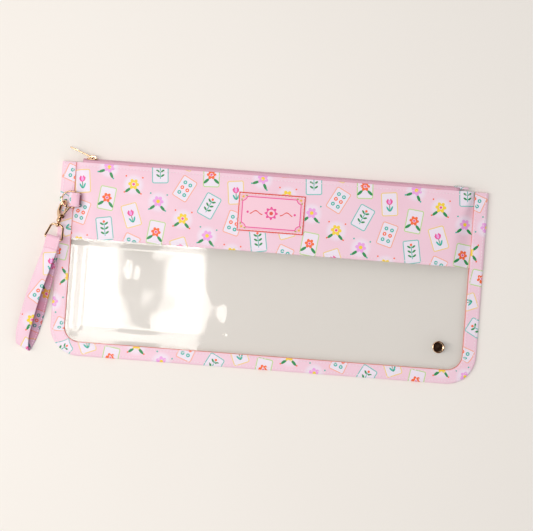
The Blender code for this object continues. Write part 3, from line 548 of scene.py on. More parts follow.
print("making the materials")
printGroup = artworkGroup()
vinylPrint = printedVinyl("printedLeatherette", printGroup)
bindingPrint = printedVinyl("printedBinding", printGroup, cutEdge=12.55)
# the strap's inner faces: the print darkened with mauve as painted shade, where the two layers shade each
# other
strapInsidePaintedShade = printedVinyl("printedStrapInsidePaintedShade", printGroup, shade="#D3ABBD")
plainPink = plainVinyl("plainPinkLeatherette", "#F9CDDF", "#F5BFD5")
coralEdge = plainVinyl("coralCutEdge", "#F0907F", "#E67F70")
# dark maroon painted shade for the tab loop's right-hand end, where the loop curves away from the light
maroonPaintedShade = plainVinyl("maroonPaintedShade", "#8E4A5C", "#7A3B4D")
clearSheet = clearVinyl()
tapeCloth = wovenTape()
paleThread = thread("palePinkThread", "#FFF4F8", "#F6DCE8")
gold = polishedGold()
teethNylon = mouldedTeeth()


def stitchTree():
    tree = bpy.data.node_groups.new("stitchesAlongLines", "GeometryNodeTree")
    tree.interface.new_socket(name="Geometry", in_out="INPUT", socket_type="NodeSocketGeometry")
    for name in ("Pitch", "Long", "Wide", "High"):
        tree.interface.new_socket(name=name, in_out="INPUT", socket_type="NodeSocketFloat")
    tree.interface.new_socket(name="Thread", in_out="INPUT", socket_type="NodeSocketMaterial")
    tree.interface.new_socket(name="Geometry", in_out="OUTPUT", socket_type="NodeSocketGeometry")
    start = addNode(tree, "NodeGroupInput")
    line = addNode(tree, "GeometryNodeMeshToCurve", {0: start.outputs["Geometry"]})
    evenly = {"Curve": line.outputs[0], "Length": start.outputs["Pitch"]}
    steps = addNode(tree, "GeometryNodeResampleCurve", evenly, mode="LENGTH")
    bead = addNode(tree, "GeometryNodeMeshUVSphere", {"Segments": 6, "Rings": 4, "Radius": 0.5})
    sizes = {number: start.outputs[name] for number, name in enumerate(("Long", "Wide", "High"))}
    size = addNode(tree, "ShaderNodeCombineXYZ", sizes)
    stitch = addNode(tree, "GeometryNodeTransform", {"Geometry": bead.outputs[0], "Scale": size.outputs[0]})
    tangent = addNode(tree, "GeometryNodeInputTangent")
    turn = addNode(tree, "FunctionNodeAlignRotationToVector", {"Vector": tangent.outputs[0]},
                   axis="X", pivot_axis="AUTO")
    spots = {"Points": steps.outputs[0], "Instance": stitch.outputs[0], "Rotation": turn.outputs[0]}
    placed = addNode(tree, "GeometryNodeInstanceOnPoints", spots)
    real = addNode(tree, "GeometryNodeRealizeInstances", {0: placed.outputs[0]})
    colourInputs = {"Geometry": real.outputs[0], "Material": start.outputs["Thread"]}
    painted = addNode(tree, "GeometryNodeSetMaterial", colourInputs)
    addNode(tree, "NodeGroupOutput", {0: painted.outputs[0]})
    return tree


stitchNodes = stitchTree()
stitchLook = {
    "pouch": {"Pitch": 3.0, "Long": 2.2, "Wide": 0.75, "High": 0.5},
    "strap": {"Pitch": 2.4, "Long": 1.7, "Wide": 0.45, "High": 0.3},
    "above": 0.05,
    "sunk": 0.03,
    "hemReach": 182,
    "labelInset": 1.6,
    "bindingInner": 10.8,
    "bindingOuter": 2.6,
}


def stitchRows(name, rows, look):
    # rows are lines of points in millimetres; one stitch stands at each step along them
    points = []
    edges = []
    for row in rows:
        first = len(points)
        points += [Vector(p) * mm for p in row]
        edges += [(first + k, first + k + 1) for k in range(len(row) - 1)]
    mesh = bpy.data.meshes.new(name)
    mesh.from_pydata(points, edges, [])
    made = bpy.data.objects.new(name, mesh)
    bpy.context.scene.collection.objects.link(made)
    modifier = made.modifiers.new("stitches", "NODES")
    modifier.node_group = stitchNodes
    sizes = {key: size * mm for key, size in look.items()}
    sizes["Thread"] = paleThread
    for socket in stitchNodes.interface.items_tree:
        if socket.in_out == "INPUT" and socket.name in sizes:
            modifier[socket.identifier] = sizes[socket.name]
    settle(made)
    made.data.polygons.foreach_set("use_smooth", [True] * len(made.data.polygons))
    return made


# The clear windows

windowLook = {
    "step": 2.2,
    "thickness": 0.45,
    "halfColumns": 90,
    "cornerRows": 10,
    "broadWave": 0.3,
    "fineWave": 0.13,
    "seed": 3.7,
    # small dents that catch the light: x, y, width, height
    "dents": ((-34, -42, 5.0, 0.24), (-31, -65, 4.0, 0.14), (6, -5, 3.2, 0.12), (-124, -9, 4.0, 0.2)),
}
print("making the windows")
halfColumns, cornerRows = windowLook["halfColumns"], windowLook["cornerRows"]
columnShares = [step / halfColumns - 1 for step in range(2 * halfColumns + 1)]
cornerTurns = [math.pi / 2 * k / cornerRows for k in range(cornerRows + 1)]
bottomRows = [panelBottom + panelCorner * (1 - math.cos(turn)) for turn in cornerTurns]
windowRows = bottomRows + evenSteps(bottomRows[-1], pouch["windowTop"], windowLook["step"])[1:]


def windowWave(x, y):
    fade = insideShare(x, y) * smoothStep((pouch["bandBottom"] - 1 - y) / 9)
    broad = ripple(x, y * 0.7, 52, windowLook["seed"]) * windowLook["broadWave"]
    fine = ripple(x * 0.8, y, 19, windowLook["seed"] + 5) * windowLook["fineWave"]
    dents = sum(high * math.exp(-((x - dx) ** 2 + (y - dy) ** 2 / 3) / wide ** 2)
                for dx, dy, wide, high in windowLook["dents"])
    return fade * (broad + fine + dents)


frontWindow = panelSheet("front_window_sheet", windowRows, columnShares,
                         lambda x, y: frontWindowZ(x, y) + windowWave(x, y), windowLook["thickness"],
                         clearSheet)
backWindow = panelSheet("back_window_sheet", windowRows, columnShares, backWindowZ, windowLook["thickness"],
                        clearSheet)


# The printed bands

bandLook = {
    "step": 3.0,
    "thickness": 0.65,
    "wave": 0.12,
    "hemDip": 0.1,
    "hemRow": 3.2,
    "lowRow": 2.2,
    "hem": 6,
    "hemRows": (5.0, 4.2, 3.7, 3.2, 2.7, 2.2, 1.2, 0.5, 0.0),
}
print("making the bands")
bandRows = evenSteps(pouch["bandBottom"], pouch["fold"] - bandLook["hem"], bandLook["step"])
bandRows += [pouch["fold"] - d for d in bandLook["hemRows"]]


def bandWave(x, y):
    fade = smoothStep((pouch["fold"] - y) / 14) * insideShare(x, y)
    fade *= smoothStep((y - pouch["bandBottom"]) / 9)
    wave = ripple(x, y, 38, 8.1) * bandLook["wave"] * fade
    dip = math.exp(-((pouch["fold"] - bandLook["hemRow"] - y) / 0.7) ** 2) * bandLook["hemDip"]
    return wave - dip


def frontBandTop(x, y):
    return frontBandZ(x, y) + bandWave(x, y) + bandLook["thickness"]


frontBand = panelSheet("front_band_print", bandRows, columnShares,
                       lambda x, y: frontBandZ(x, y) + bandWave(x, y), bandLook["thickness"], vinylPrint)
backBand = panelSheet("back_band_print", bandRows, columnShares, backBandZ, bandLook["thickness"], vinylPrint)
soften(frontBand, 0.28)
soften(backBand, 0.28)


# The binding: one strip folded over the sheets' edges

bindingLook = {"step": 2.6, "foldSteps": 8, "acrossSteps": 5, "cornerSteps": 18, "thickness": 0.7,
               "pucker": 0.08, "puckerPitch": 5.8}
print("making the binding")


def bindingPath():
    half = pouch["halfLength"]
    radius = pouch["cornerRadius"]
    centreY = pouch["bottom"] + radius
    centreX = half - radius

    def corner(x, start):
        points = []
        for number in range(bindingLook["cornerSteps"] + 1):
            turn = start + math.pi / 2 * number / bindingLook["cornerSteps"]
            out = (math.cos(turn), math.sin(turn))
            points.append(((x + radius * out[0], centreY + radius * out[1]), (-out[0], -out[1])))
        return points

    path = [((-half, y), (1, 0)) for y in evenSteps(pouch["fold"], centreY, bindingLook["step"])[:-1]]
    path += corner(-centreX, math.pi)
    path += [((x, pouch["bottom"]), (0, 1)) for x in evenSteps(-centreX, centreX, bindingLook["step"])[1:-1]]
    path += corner(centreX, math.pi * 1.5)
    path += [((half, y), (-1, 0)) for y in evenSteps(centreY, pouch["fold"], bindingLook["step"])[1:]]
    return path


def sweep(rings, closed=False):
    # faces between rings of equal length
    size = len(rings[0])
    points = [p for ring in rings for p in ring]
    faces = []
    last = len(rings) if closed else len(rings) - 1
    for number in range(last):
        here = number * size
        there = (number + 1) % len(rings) * size
        for k in range(size):
            after = (k + 1) % size
            faces.append((here + k, here + after, there + after, there + k))
    if not closed:
        faces.append(tuple(range(size))[::-1])
        faces.append(tuple(range(len(points) - size, len(points))))
    return points, faces


def bindingHeight(y):
    base = pouch["frontLevel"] + pouch["windowThickness"] + pouch["gap"] + bindingLook["thickness"]
    return base + 2 * liftOver(y)


def makeBinding():
    thick = bindingLook["thickness"]
    rings = []
    uv = []
    travelled = 0.0
    before = None
    for (x, y), inward in bindingPath():
        if before:
            travelled += math.hypot(x - before[0], y - before[1])
        before = (x, y)
        height = bindingHeight(y)
        fold = height / 2
        pucker = bindingLook["pucker"] * math.cos(travelled * math.tau / bindingLook["puckerPitch"])
        section = []
        marks = []
        width = pouch["bindingWidth"]
        flat = evenSteps(width, fold, (width - fold) / bindingLook["acrossSteps"])
        turns = [math.pi / 2 * k / bindingLook["foldSteps"] for k in range(2 * bindingLook["foldSteps"] + 1)]
        for n in flat[:-1]:
            section.append((n, 0.0))
            marks.append(n)
        for t in turns:
            section.append((fold - fold * math.sin(t), fold - fold * math.cos(t)))
            marks.append(fold * abs(math.cos(t)))
        for n in reversed(flat[:-1]):
            dip = pucker * math.exp(-((n - width + 2.2) / 1.6) ** 2)
            dip += pucker * math.exp(-((n - 3.0) / 1.4) ** 2)
            section.append((n, height - abs(dip)))
            marks.append(n)
        inner = fold - thick
        section.append((width, height - thick))
        marks.append(width)
        for t in reversed(turns):
            section.append((fold - inner * math.sin(t), fold - inner * math.cos(t)))
            marks.append(2.0)
        section.append((width, thick))
        marks.append(width)
        rings.append([(x + inward[0] * n, y + inward[1] * n, z) for n, z in section])
        uv += [(travelled, mark) for mark in marks]
    points, faces = sweep(rings)
    made = makePiece("edge_binding_print", points, faces, bindingPrint, uv)
    made.data.materials.append(coralEdge)
    for cap in made.data.polygons[-2:]:
        cap.material_index = 1
    bindingLook["cutLength"] = travelled
    return soften(made, 0.15)


binding = makeBinding()


def offsetRow(inset, above):
    # a line on the binding's front, this far in from its outer edge
    return [(x + n[0] * inset, y + n[1] * inset, bindingHeight(y) + above) for (x, y), n in bindingPath()]


# The label

labelLook = {
    "centreX": -1.7,
    "centreY": 53.4,
    "halfLength": 30.75,
    "halfHeight": 18.0,
    "thickness": 0.5,
    "step": 2.0,
    "ground": "#FAC3D7",
    "groundDeep": "#F5B4CC",
    "border": "#F9D9E4",
    "inside": "#FBCFDF",
    "red": "#E84B3D",
    "pink": "#F0479A",
    "bud": "#F3C94B",
    "budHeart": "#EE7A3C",
    "leaf": "#A8B24A",
}
print("making the label")


def labelMaterial():
    # printed label vinyl: red border, notched pink frame, small corner flowers and a plain ornament
    look = labelLook
    material, tree, shader = newMaterial("printedLabelVinyl")
    place = addNode(tree, "ShaderNodeUVMap", uv_map="print")
    split = addNode(tree, "ShaderNodeSeparateXYZ", {0: place.outputs[0]})
    ax, ay = ("ABSOLUTE", split.outputs[0]), ("ABSOLUTE", split.outputs[1])
    halfX, halfY = look["halfLength"], look["halfHeight"]
    tone = addNode(tree, "ShaderNodeTexNoise", {"Vector": place.outputs[0], "Scale": 0.05, "Detail": 1.0})
    colour = paint(tree, look["ground"], tone.outputs["Fac"], look["groundDeep"])
    fromEdge = ("MINIMUM", ("SUBTRACT", halfX, ax), ("SUBTRACT", halfY, ay))
    colour = paint(tree, colour, within(fromEdge, 2.0), look["border"])
    colour = paint(tree, colour, within(("ABSOLUTE", ("SUBTRACT", fromEdge, 0.8)), 0.55), look["red"])
    inset = ("SUBTRACT", fromEdge, 4.0)
    cornerX = ("SUBTRACT", ax, halfX - 3.4)
    cornerY = ("SUBTRACT", ay, halfY - 3.4)
    notch = ("SUBTRACT", lengthOf(cornerX, cornerY), 4.6)
    frameLine = ("MINIMUM", inset, notch)
    colour = paint(tree, colour, ("GREATER_THAN", frameLine, 0.0), look["inside"])
    colour = paint(tree, colour, within(("ABSOLUTE", frameLine), 0.42), look["pink"])
    petalX = ("SUBTRACT", ax, halfX - 4.3)
    petalY = ("SUBTRACT", ay, halfY - 4.3)
    bud = lengthOf(petalX, petalY)
    angle = ("ARCTAN2", petalY, petalX)
    wavy = ("ADD", ("MULTIPLY", ("COSINE", ("MULTIPLY", angle, 5.0)), 0.35), 1.15)
    colour = paint(tree, colour, within(bud, wavy), look["bud"])
    colour = paint(tree, colour, within(bud, 0.45), look["budHeart"])
    sprigX = ("SUBTRACT", ax, halfX - 7.4)
    sprigY = ("SUBTRACT", ay, halfY - 3.2)
    colour = paint(tree, colour, within(lengthOf(("MULTIPLY", sprigX, 0.6), sprigY), 0.62), look["leaf"])
    sprigX = ("SUBTRACT", ax, halfX - 3.2)
    sprigY = ("SUBTRACT", ay, halfY - 7.2)
    colour = paint(tree, colour, within(lengthOf(sprigX, ("MULTIPLY", sprigY, 0.6)), 0.62), look["leaf"])

    # the ornament: a scalloped flower between two flourishes, with a dot at each end
    reach = lengthOf(split.outputs[0], split.outputs[1])
    turn = ("ARCTAN2", split.outputs[1], split.outputs[0])
    scallop = ("ADD", ("MULTIPLY", ("COSINE", ("MULTIPLY", turn, 8.0)), 0.9), 5.2)
    colour = paint(tree, colour, within(reach, scallop), look["pink"])
    colour = paint(tree, colour, within(reach, 3.4), look["inside"])
    colour = paint(tree, colour, within(reach, 1.7), look["red"])
    wave = ("MULTIPLY", ("SINE", ("MULTIPLY", ax, 0.55)), 1.5)
    flourish = within(("ABSOLUTE", ("SUBTRACT", split.outputs[1], wave)), 0.5)
    span = ("MULTIPLY", ("GREATER_THAN", ax, 8.0), within(ax, 19.5))
    colour = paint(tree, colour, ("MULTIPLY", flourish, span), look["red"])
    dots = within(lengthOf(("SUBTRACT", ax, 21.6), split.outputs[1]), 1.1)
    colour = paint(tree, colour, dots, look["pink"])
    tree.links.new(colour, shader.inputs["Base Color"])
    grain = addNode(tree, "ShaderNodeTexVoronoi", {"Vector": place.outputs[0], "Scale": 1.3},
                    feature="SMOOTH_F1")
    relief(tree, shader, grain.outputs["Distance"], 0.2, 0.05)
    shader.inputs["Roughness"].default_value = 0.4
    return material


def makeLabel():
    xs = evenSteps(-labelLook["halfLength"], labelLook["halfLength"], labelLook["step"])
    ys = evenSteps(-labelLook["halfHeight"], labelLook["halfHeight"], labelLook["step"])
    lower = []
    uv = [(dx, dy) for dy in ys for dx in xs]
    for dx, dy in uv:
        x, y = labelLook["centreX"] + dx, labelLook["centreY"] + dy
        lower.append((x, y, frontBandTop(x, y) + pouch["gap"]))
    return soften(slab("label_print", lower, len(xs), labelLook["thickness"], labelMaterial(), uv), 0.2)


label = makeLabel()


# The zip tapes

zipLook = {"tilt": math.radians(14), "y": 90.2, "z": 5.7, "start": -177.2, "end": 168.7, "thickness": 0.45,
           "slit": 0.2, "half": 3.8, "tuck": 6.0, "halfCloth": 0.25, "step": 4.0}
print("making the zip tapes")


def tapePath(side):
    fold = pouch["fold"]
    half = zipLook["halfCloth"]
    if side > 0:
        hem = frontBandZ(0, fold) - pouch["gap"] - half
    else:
        hem = backBandZ(0, fold) + pouch["bandThickness"] + pouch["gap"] + half
    leanY = -math.sin(zipLook["tilt"]) * side
    leanZ = math.cos(zipLook["tilt"]) * side
    near = (zipLook["y"] + leanY * zipLook["slit"], zipLook["z"] + leanZ * zipLook["slit"])
    far = (zipLook["y"] + leanY * zipLook["half"], zipLook["z"] + leanZ * zipLook["half"])
    return [near, ((near[0] + far[0]) / 2, (near[1] + far[1]) / 2), far,
            ((far[0] + fold) / 2, hem), (fold - zipLook["tuck"], hem)]


def ribbonSection(path, half):
    # the outline of a strip of even thickness along a path of (a, b) points
    left = []
    right = []
    last = len(path) - 1
    for k, (a, b) in enumerate(path):
        along = (Vector(path[min(k + 1, last)]) - Vector(path[max(k - 1, 0)])).normalized()
        left.append((a - along.y * half, b + along.x * half))
        right.append((a + along.y * half, b - along.x * half))
    return left + right[::-1]


def makeTape(name, side):
    path = tapePath(side)
    section = ribbonSection(path, zipLook["thickness"] / 2)
    lengths = [0.0]
    for a, b in zip(path, path[1:]):
        lengths.append(lengths[-1] + math.dist(a, b))
    marks = lengths + lengths[::-1]
    xs = evenSteps(zipLook["start"], zipLook["end"], zipLook["step"])
    rings = [[(x, y, z) for y, z in section] for x in xs]
    uv = [(x, mark) for x in xs for mark in marks]
    points, faces = sweep(rings)
    return makePiece(name, points, faces, tapeCloth, uv)


frontTape = makeTape("front_tape_cloth", 1)
backTape = makeTape("back_tape_cloth", -1)


def framed(points, origin, along, across):
    # from a piece's own axes to the pouch's
    x, y = Vector(along), Vector(across)
    z = x.cross(y)
    return [Vector(origin) + x * p[0] + y * p[1] + z * p[2] for p in points]


def stripSection(half, thick, stitchInset, dip):
    # the section of a strap: (across, out) pairs with rounded edges and a dip at each stitch line
    places = (-1.0, -0.5, 0.0, 0.5, 1.0)
    side = [-half + 0.35]
    side += [-half + stitchInset + 0.45 * place for place in places]
    middle = [0.0]
    top = side + middle + [-a for a in reversed(side)]
    level = thick / 2
    section = []
    for a in top:
        fromStitch = (half - stitchInset - abs(a)) / 0.35
        section.append((a, level - dip * math.exp(-fromStitch ** 2)))
    section.append((half, level * 0.45))
    section.append((half, -level * 0.45))
    section += [(a, -out) for a, out in reversed(section[:len(top)])]
    section.append((-half, -level * 0.45))
    section.append((-half, level * 0.45))
    return section, len(top)


# The zip's end tab

endTabLook = {"x": 168.7, "grip": 4.5, "tongue": 8.5, "thickness": 0.7, "inner": 0.55, "halfWidth": 2.6}
print("making the end tab")


def makeEndTab():
    inner, thick = endTabLook["inner"], endTabLook["thickness"]
    outer = inner + thick
    grip, tongue = endTabLook["grip"], endTabLook["tongue"]
    upper = [(-grip, outer), (-2.0, outer), (0.2, outer), (0.9, outer - 0.1), (1.5, thick + 0.2)]
    upper += [(2.2, thick), (5.0, thick), (tongue - 0.3, thick), (tongue, thick - 0.25)]
    pocket = [(-grip, -inner), (0.3, -inner), (0.3, inner), (-grip, inner)]
    outline = upper + [(x, -z) for x, z in reversed(upper)] + pocket
    tilt = zipLook["tilt"]
    origin = (endTabLook["x"], zipLook["y"], zipLook["z"])
    across = (0, math.sin(tilt), -math.cos(tilt))
    rings = []
    uv = []
    for step in range(7):
        side = endTabLook["halfWidth"] * (step / 3 - 1)
        rings.append(framed([(x, side, z) for x, z in outline], origin, (1, 0, 0), across))
        uv += [(x + 40, side + z) for x, z in outline]
    points, faces = sweep(rings)
    return soften(makePiece("end_tab_print", points, faces, vinylPrint, uv), 0.2)


endTab = makeEndTab()


# The tab loop that holds the ring

tabLook = {"right": (-180.7, 52.3, 10.6), "flat": 2.3, "radius": 3.8, "halfWidth": 6.4, "thickness": 0.9,
           "stitchInset": 1.4, "arcSteps": 14, "flatSteps": 3}
print("making the tab loop")


def makeTab():
    x0, y0, z0 = tabLook["right"]
    radius, flat = tabLook["radius"], tabLook["flat"]
    path = []
    for side, centre in ((1, x0), (-1, x0 - flat)):
        for step in range(tabLook["arcSteps"] + 1):
            turn = -side * math.pi / 2 + math.pi * step / tabLook["arcSteps"]
            path.append((centre, math.cos(turn), math.sin(turn)))
        for step in range(1, tabLook["flatSteps"]):
            path.append((centre - side * flat * step / tabLook["flatSteps"], 0.0, float(side)))
    section = stripSection(tabLook["halfWidth"], tabLook["thickness"], tabLook["stitchInset"], 0.08)[0]
    rings = []
    uv = []
    travelled = 0.0
    before = None
    for centre, outX, outZ in path:
        spot = (centre + radius * outX, z0 + radius * outZ)
        if before:
            travelled += math.dist(spot, before)
        before = spot
        rings.append([(spot[0] + outX * out, y0 + a, spot[1] + outZ * out) for a, out in section])
        uv += [(a + 11, travelled + 4) for a, out in section]
    points, faces = sweep(rings, closed=True)
    made = makePiece("tab_loop_print", points, faces, plainPink, uv)
    made.data.materials.append(maroonPaintedShade)
    made.data.materials.append(vinylPrint)
    size = len(section)
    # the right-hand arc, from its bottom to a little above its middle, is painted maroon as painted shade;
    # the left-hand arc and the lower run show the print
    for number, polygon in enumerate(made.data.polygons):
        if number // size < tabLook["arcSteps"] * 0.66:
            polygon.material_index = 1
        elif number // size > tabLook["arcSteps"] + tabLook["flatSteps"] + 1:
            polygon.material_index = 2
    tabLook["cutLength"] = travelled
    rows = []
    for side in (-1, 1):
        a = side * (tabLook["halfWidth"] - tabLook["stitchInset"])
        lift = tabLook["thickness"] / 2 - 0.03
        tops = [p for p in path if p[2] > 0.35]
        rows.append([(c + (radius + lift) * ox, y0 + a, z0 + (radius + lift) * oz) for c, ox, oz in tops])
    return made, rows


tabLoop, tabRows = makeTab()


# The wrist strap: one printed strip, wrapped round the eye's bar and sewn back on itself

strapLook = {
    "origin": (-198.058, 15.751, 16.788),
    "along": (-0.20791, -0.97815, 0.0),
    "across": (0.97815, -0.20791, 0.0),
    "length": 107.2,
    "width": 12.6,
    "layer": 1.6,
    "thickness": 1.2,
    "opening": 6.0,
    "flapEnd": 9.9,
    "neck": 4.5,
    "hiddenEnd": 3.4,
    "wrapRadius": 1.95,
    "foldSlant": 0.27,
    "stitchInset": 1.5,
    "step": 1.5,
    # (share of the length, value) pairs: how far each layer drifts sideways, falls and parts from the other
    "upperDrift": ((0.0, 0.0), (0.05, 0.0), (0.1, 0.0), (0.34, -0.17), (0.56, -0.29), (0.84, -0.31),
                   (1.0, -0.02)),
    "lowerDrift": ((0.0, 0.0), (0.05, 0.0), (0.1, 0.12), (0.35, 0.26), (0.56, 0.29), (0.84, 0.25),
                   (1.0, -0.02)),
    "fall": ((0.0, 0.0), (0.1, 0.05), (0.34, 0.39), (0.45, 0.5), (0.72, 0.96), (1.0, 1.0)),
    "parting": ((0.1, 0.0), (0.25, 0.5), (0.5, 1.0), (0.8, 0.85), (1.0, 0.55)),
}
print("making the wrist strap")


def strapUnder(s):
    fallen = min(alongTable(strapLook["fall"], s / strapLook["length"]), 1.0)
    return -strapLook["layer"] - (strapLook["origin"][2] - strapLook["layer"]) * fallen


def strapParting(s):
    return max(strapLook["opening"] * alongTable(strapLook["parting"], s / strapLook["length"]), 0.0)


def strapPath():
    # (along, height, share of the upper layer) from the flap's end round the bar and the far fold
    layer, thick = strapLook["layer"], strapLook["thickness"]
    rest = thick / 2 + 0.05
    foldS = strapLook["length"] - strapLook["opening"]
    foldGap = strapParting(foldS)
    foldZ = strapUnder(foldS) + layer + foldGap / 2
    flaps = evenSteps(strapLook["flapEnd"], strapLook["neck"], 1.1)
    path = [(s, strapUnder(s) + rest + 2 * (thick + 0.06), 1.0) for s in flaps]
    wrap = strapLook["wrapRadius"]
    for step in range(13):
        turn = math.pi / 2 + math.pi * step / 12
        path.append((wrap * math.cos(turn), wrap * math.sin(turn), 1 - step / 12))
    lower = evenSteps(strapLook["neck"], foldS, strapLook["step"])
    for s in lower[:-1]:
        share = smoothStep((s - 4) / 10)
        path.append((s, strapUnder(s) + rest + (layer / 2 - rest) * share, 0.0))
    for step in range(15):
        turn = -math.pi / 2 + math.pi * step / 14
        reach = foldGap / 2 + layer / 2
        z = foldZ + reach * math.sin(turn)
        path.append((foldS + reach * math.cos(turn), z, smoothStep(0.5 + 0.5 * math.sin(turn))))
    for s in evenSteps(foldS, strapLook["hiddenEnd"], strapLook["step"])[1:]:
        share = smoothStep((s - 10) / 8)
        near = strapUnder(s) + rest + thick + 0.06
        far = strapUnder(s) + 1.5 * layer + strapParting(s)
        path.append((s, near + (far - near) * share, 1.0))
    return path


def makeStrap():
    path = strapPath()
    half = strapLook["width"] / 2
    section, topCount = stripSection(half, strapLook["thickness"], strapLook["stitchInset"], 0.1)
    count = len(path)
    rings = []
    uv = []
    zones = []
    rows = {"outerLeft": [], "outerRight": [], "innerLeft": [], "innerRight": [], "seam": []}
    travelled = 0.0
    for k, (s, z, upper) in enumerate(path):
        before, after = path[max(k - 1, 0)], path[min(k + 1, count - 1)]
        if k:
            travelled += math.dist((s, z), path[k - 1][:2])
        along = Vector((after[0] - before[0], after[1] - before[1])).normalized()
        outS, outZ = along.y, -along.x
        share = min(max(s, 0.0) / strapLook["length"], 1.0)
        low, high = alongTable(strapLook["lowerDrift"], share), alongTable(strapLook["upperDrift"], share)
        drift = (low + (high - low) * upper) * strapLook["width"]
        slant = strapLook["foldSlant"] * smoothStep(4 * share - 3)

        def spot(a, out):
            return (s + a * slant + outS * out, a + drift, z + outZ * out)

        rings.append([spot(a, out) for a, out in section])
        uv += [(a + (8 if n > topCount else 6), travelled + 3) for n, (a, out) in enumerate(section)]
        zones.append(travelled)
        a = half - strapLook["stitchInset"]
        lift = strapLook["thickness"] / 2 - 0.03
        rows["outerLeft"].append(spot(-a, lift))
        rows["outerRight"].append(spot(a, lift))
        if upper < 0.5 and s > 12:
            rows["innerLeft"].append(spot(-a, -lift))
            rows["innerRight"].append(spot(a, -lift))
    plainUntil = strapLook["flapEnd"] + math.pi * strapLook["wrapRadius"] + 8
    axes = (strapLook["origin"], strapLook["along"], strapLook["across"])
    points, faces = sweep([framed(ring, *axes) for ring in rings])
    made = makePiece("wrist_strap_print", points, faces, vinylPrint, uv)
    made.data.materials.append(plainPink)
    made.data.materials.append(strapInsidePaintedShade)
    size = len(section)
    # faces round the bar are plain leather; the inner faces are the print darkened as painted shade
    for number, polygon in enumerate(made.data.polygons):
        ring, k = number // size, number % size
        if ring >= count - 1 or zones[ring] < plainUntil:
            polygon.material_index = 1
        elif topCount <= k < size - 1:
            polygon.material_index = 2
    seamAt = strapLook["flapEnd"] - 1.5
    seamZ = strapUnder(seamAt) + strapLook["thickness"] * 3 + 0.17
    rows["seam"] = [(seamAt, a, seamZ) for a in evenSteps(1.5 - half, half - 1.5, 1.2)]
    lines = [framed(row, *axes) for row in rows.values()]
    strapLook["cutLength"] = travelled
    return made, lines


strap, strapRows = makeStrap()


# The metal fittings

claspLook = {
    "origin": (-191.424, 46.961, 11.162),
    "along": (-0.20475, -0.96329, 0.17365),
    "hookAcross": (0.6564, -0.00353, 0.75441),
    "eyeAcross": (0.97815, -0.20791, 0.0),
    "hookSeat": 1.0,
    "hookRadius": 4.5,
    "noseWidth": 0.9,
    "noseDepth": 1.0,
    "limbWidth": 2.0,
    "limbDepth": 1.8,
    # turned parts as (place on the clasp's axis, radius)
    "barrel": ((10.8, 1.5), (11.0, 2.1), (11.4, 2.4), (12.5, 2.4), (12.75, 2.1), (13.1, 2.1), (13.35, 2.4),
               (15.9, 2.4), (16.35, 2.2), (16.6, 1.7)),
    "post": ((14.0, 1.4), (15.2, 1.4), (15.3, 0.8), (16.85, 0.8), (17.1, 1.25), (17.4, 1.35), (17.7, 1.25),
             (17.95, 0.8), (20.75, 0.8), (20.85, 1.4), (21.2, 1.15), (21.45, 0.7)),
    "boss": ((18.2, 1.4), (18.4, 1.75), (18.8, 1.9), (20.1, 1.9), (20.45, 1.7), (20.6, 1.4)),
    "ears": (9.2, 12.8, -1.0, 3.6, 0.9),
    "earInner": 1.3,
    "earOuter": 1.9,
    "eyeTop": 19.4,
    "eyeHalfTop": 6.1,
    "eyeHalfWidth": 7.9,
    "eyeBar": 32.4,
    "eyeWire": 1.05,
    "eyeTopCorner": 3.6,
    "eyeBarCorner": 1.2,
    "sides": 20,
}
ringLook = {"centreX": -5.4, "radius": 7.55, "wire": 0.75, "tilt": math.radians(3), "steps": 72, "sides": 16}
studLook = {
    "x": 160.3,
    "y": -57.0,
    "profile": ((-1.75, 1.2), (0.0, 1.2), (0.01, 5.35), (0.25, 5.6), (0.9, 5.65), (1.2, 5.5), (1.42, 5.2),
                (1.5, 4.9), (1.42, 4.6), (1.22, 4.35), (1.14, 4.0), (1.18, 2.4), (1.24, 0.8), (1.25, 0.05)),
}
print("making the metal fittings")


def arcPoints(centre, radius, start, end, steps):
    turns = [start + (end - start) * step / steps for step in range(steps + 1)]
    return [(centre[0] + radius * math.cos(turn), centre[1] + radius * math.sin(turn)) for turn in turns]


def fineCurve(points, parts):
    # a smooth curve through the points
    made = []
    last = len(points) - 1
    for k in range(last):
        a, b, c, d = (Vector(points[min(max(k + j, 0), last)]) for j in (-1, 0, 1, 2))
        for part in range(parts):
            t = part / parts
            curve = 2 * b + (c - a) * t + (2 * a - 5 * b + 4 * c - d) * t ** 2
            curve += (3 * b - a - 3 * c + d) * t ** 3
            made.append(curve * 0.5)
    made.append(Vector(points[-1]))
    return made


def ovalRings(path, sides, closed=False):
    # rings round a path of (x, y, half width, half depth)
    rings = []
    count = len(path)
    for k, spot in enumerate(path):
        before = path[k - 1] if closed or k else spot
        after = path[(k + 1) % count] if closed or k < count - 1 else spot
        along = Vector((after[0] - before[0], after[1] - before[1])).normalized()
        ring = []
        for step in range(sides):
            turn = math.tau * step / sides
            out = spot[2] * math.cos(turn)
            ring.append((spot[0] - along.y * out, spot[1] + along.x * out, spot[3] * math.sin(turn)))
        rings.append(ring)
    return rings


def lathe(profile, sides):
    # a solid turned round the X axis from (place, radius) pairs
    rings = []
    for place, radius in profile:
        turns = [math.tau * step / sides for step in range(sides)]
        rings.append([(place, radius * math.cos(turn), radius * math.sin(turn)) for turn in turns])
    return sweep(rings)


def together(*shapes):
    points = []
    faces = []
    for more, moreFaces in shapes:
        first = len(points)
        points += more
        faces += [tuple(corner + first for corner in face) for face in moreFaces]
    return points, faces


def metalPiece(name, shape, origin, along, across, edge=0.12):
    points, faces = shape
    made = makePiece(name, framed(points, origin, along, across), faces, gold)
    soften(made, edge, angle=40)
    made.modifiers["softEdge"].harden_normals = True
    return made


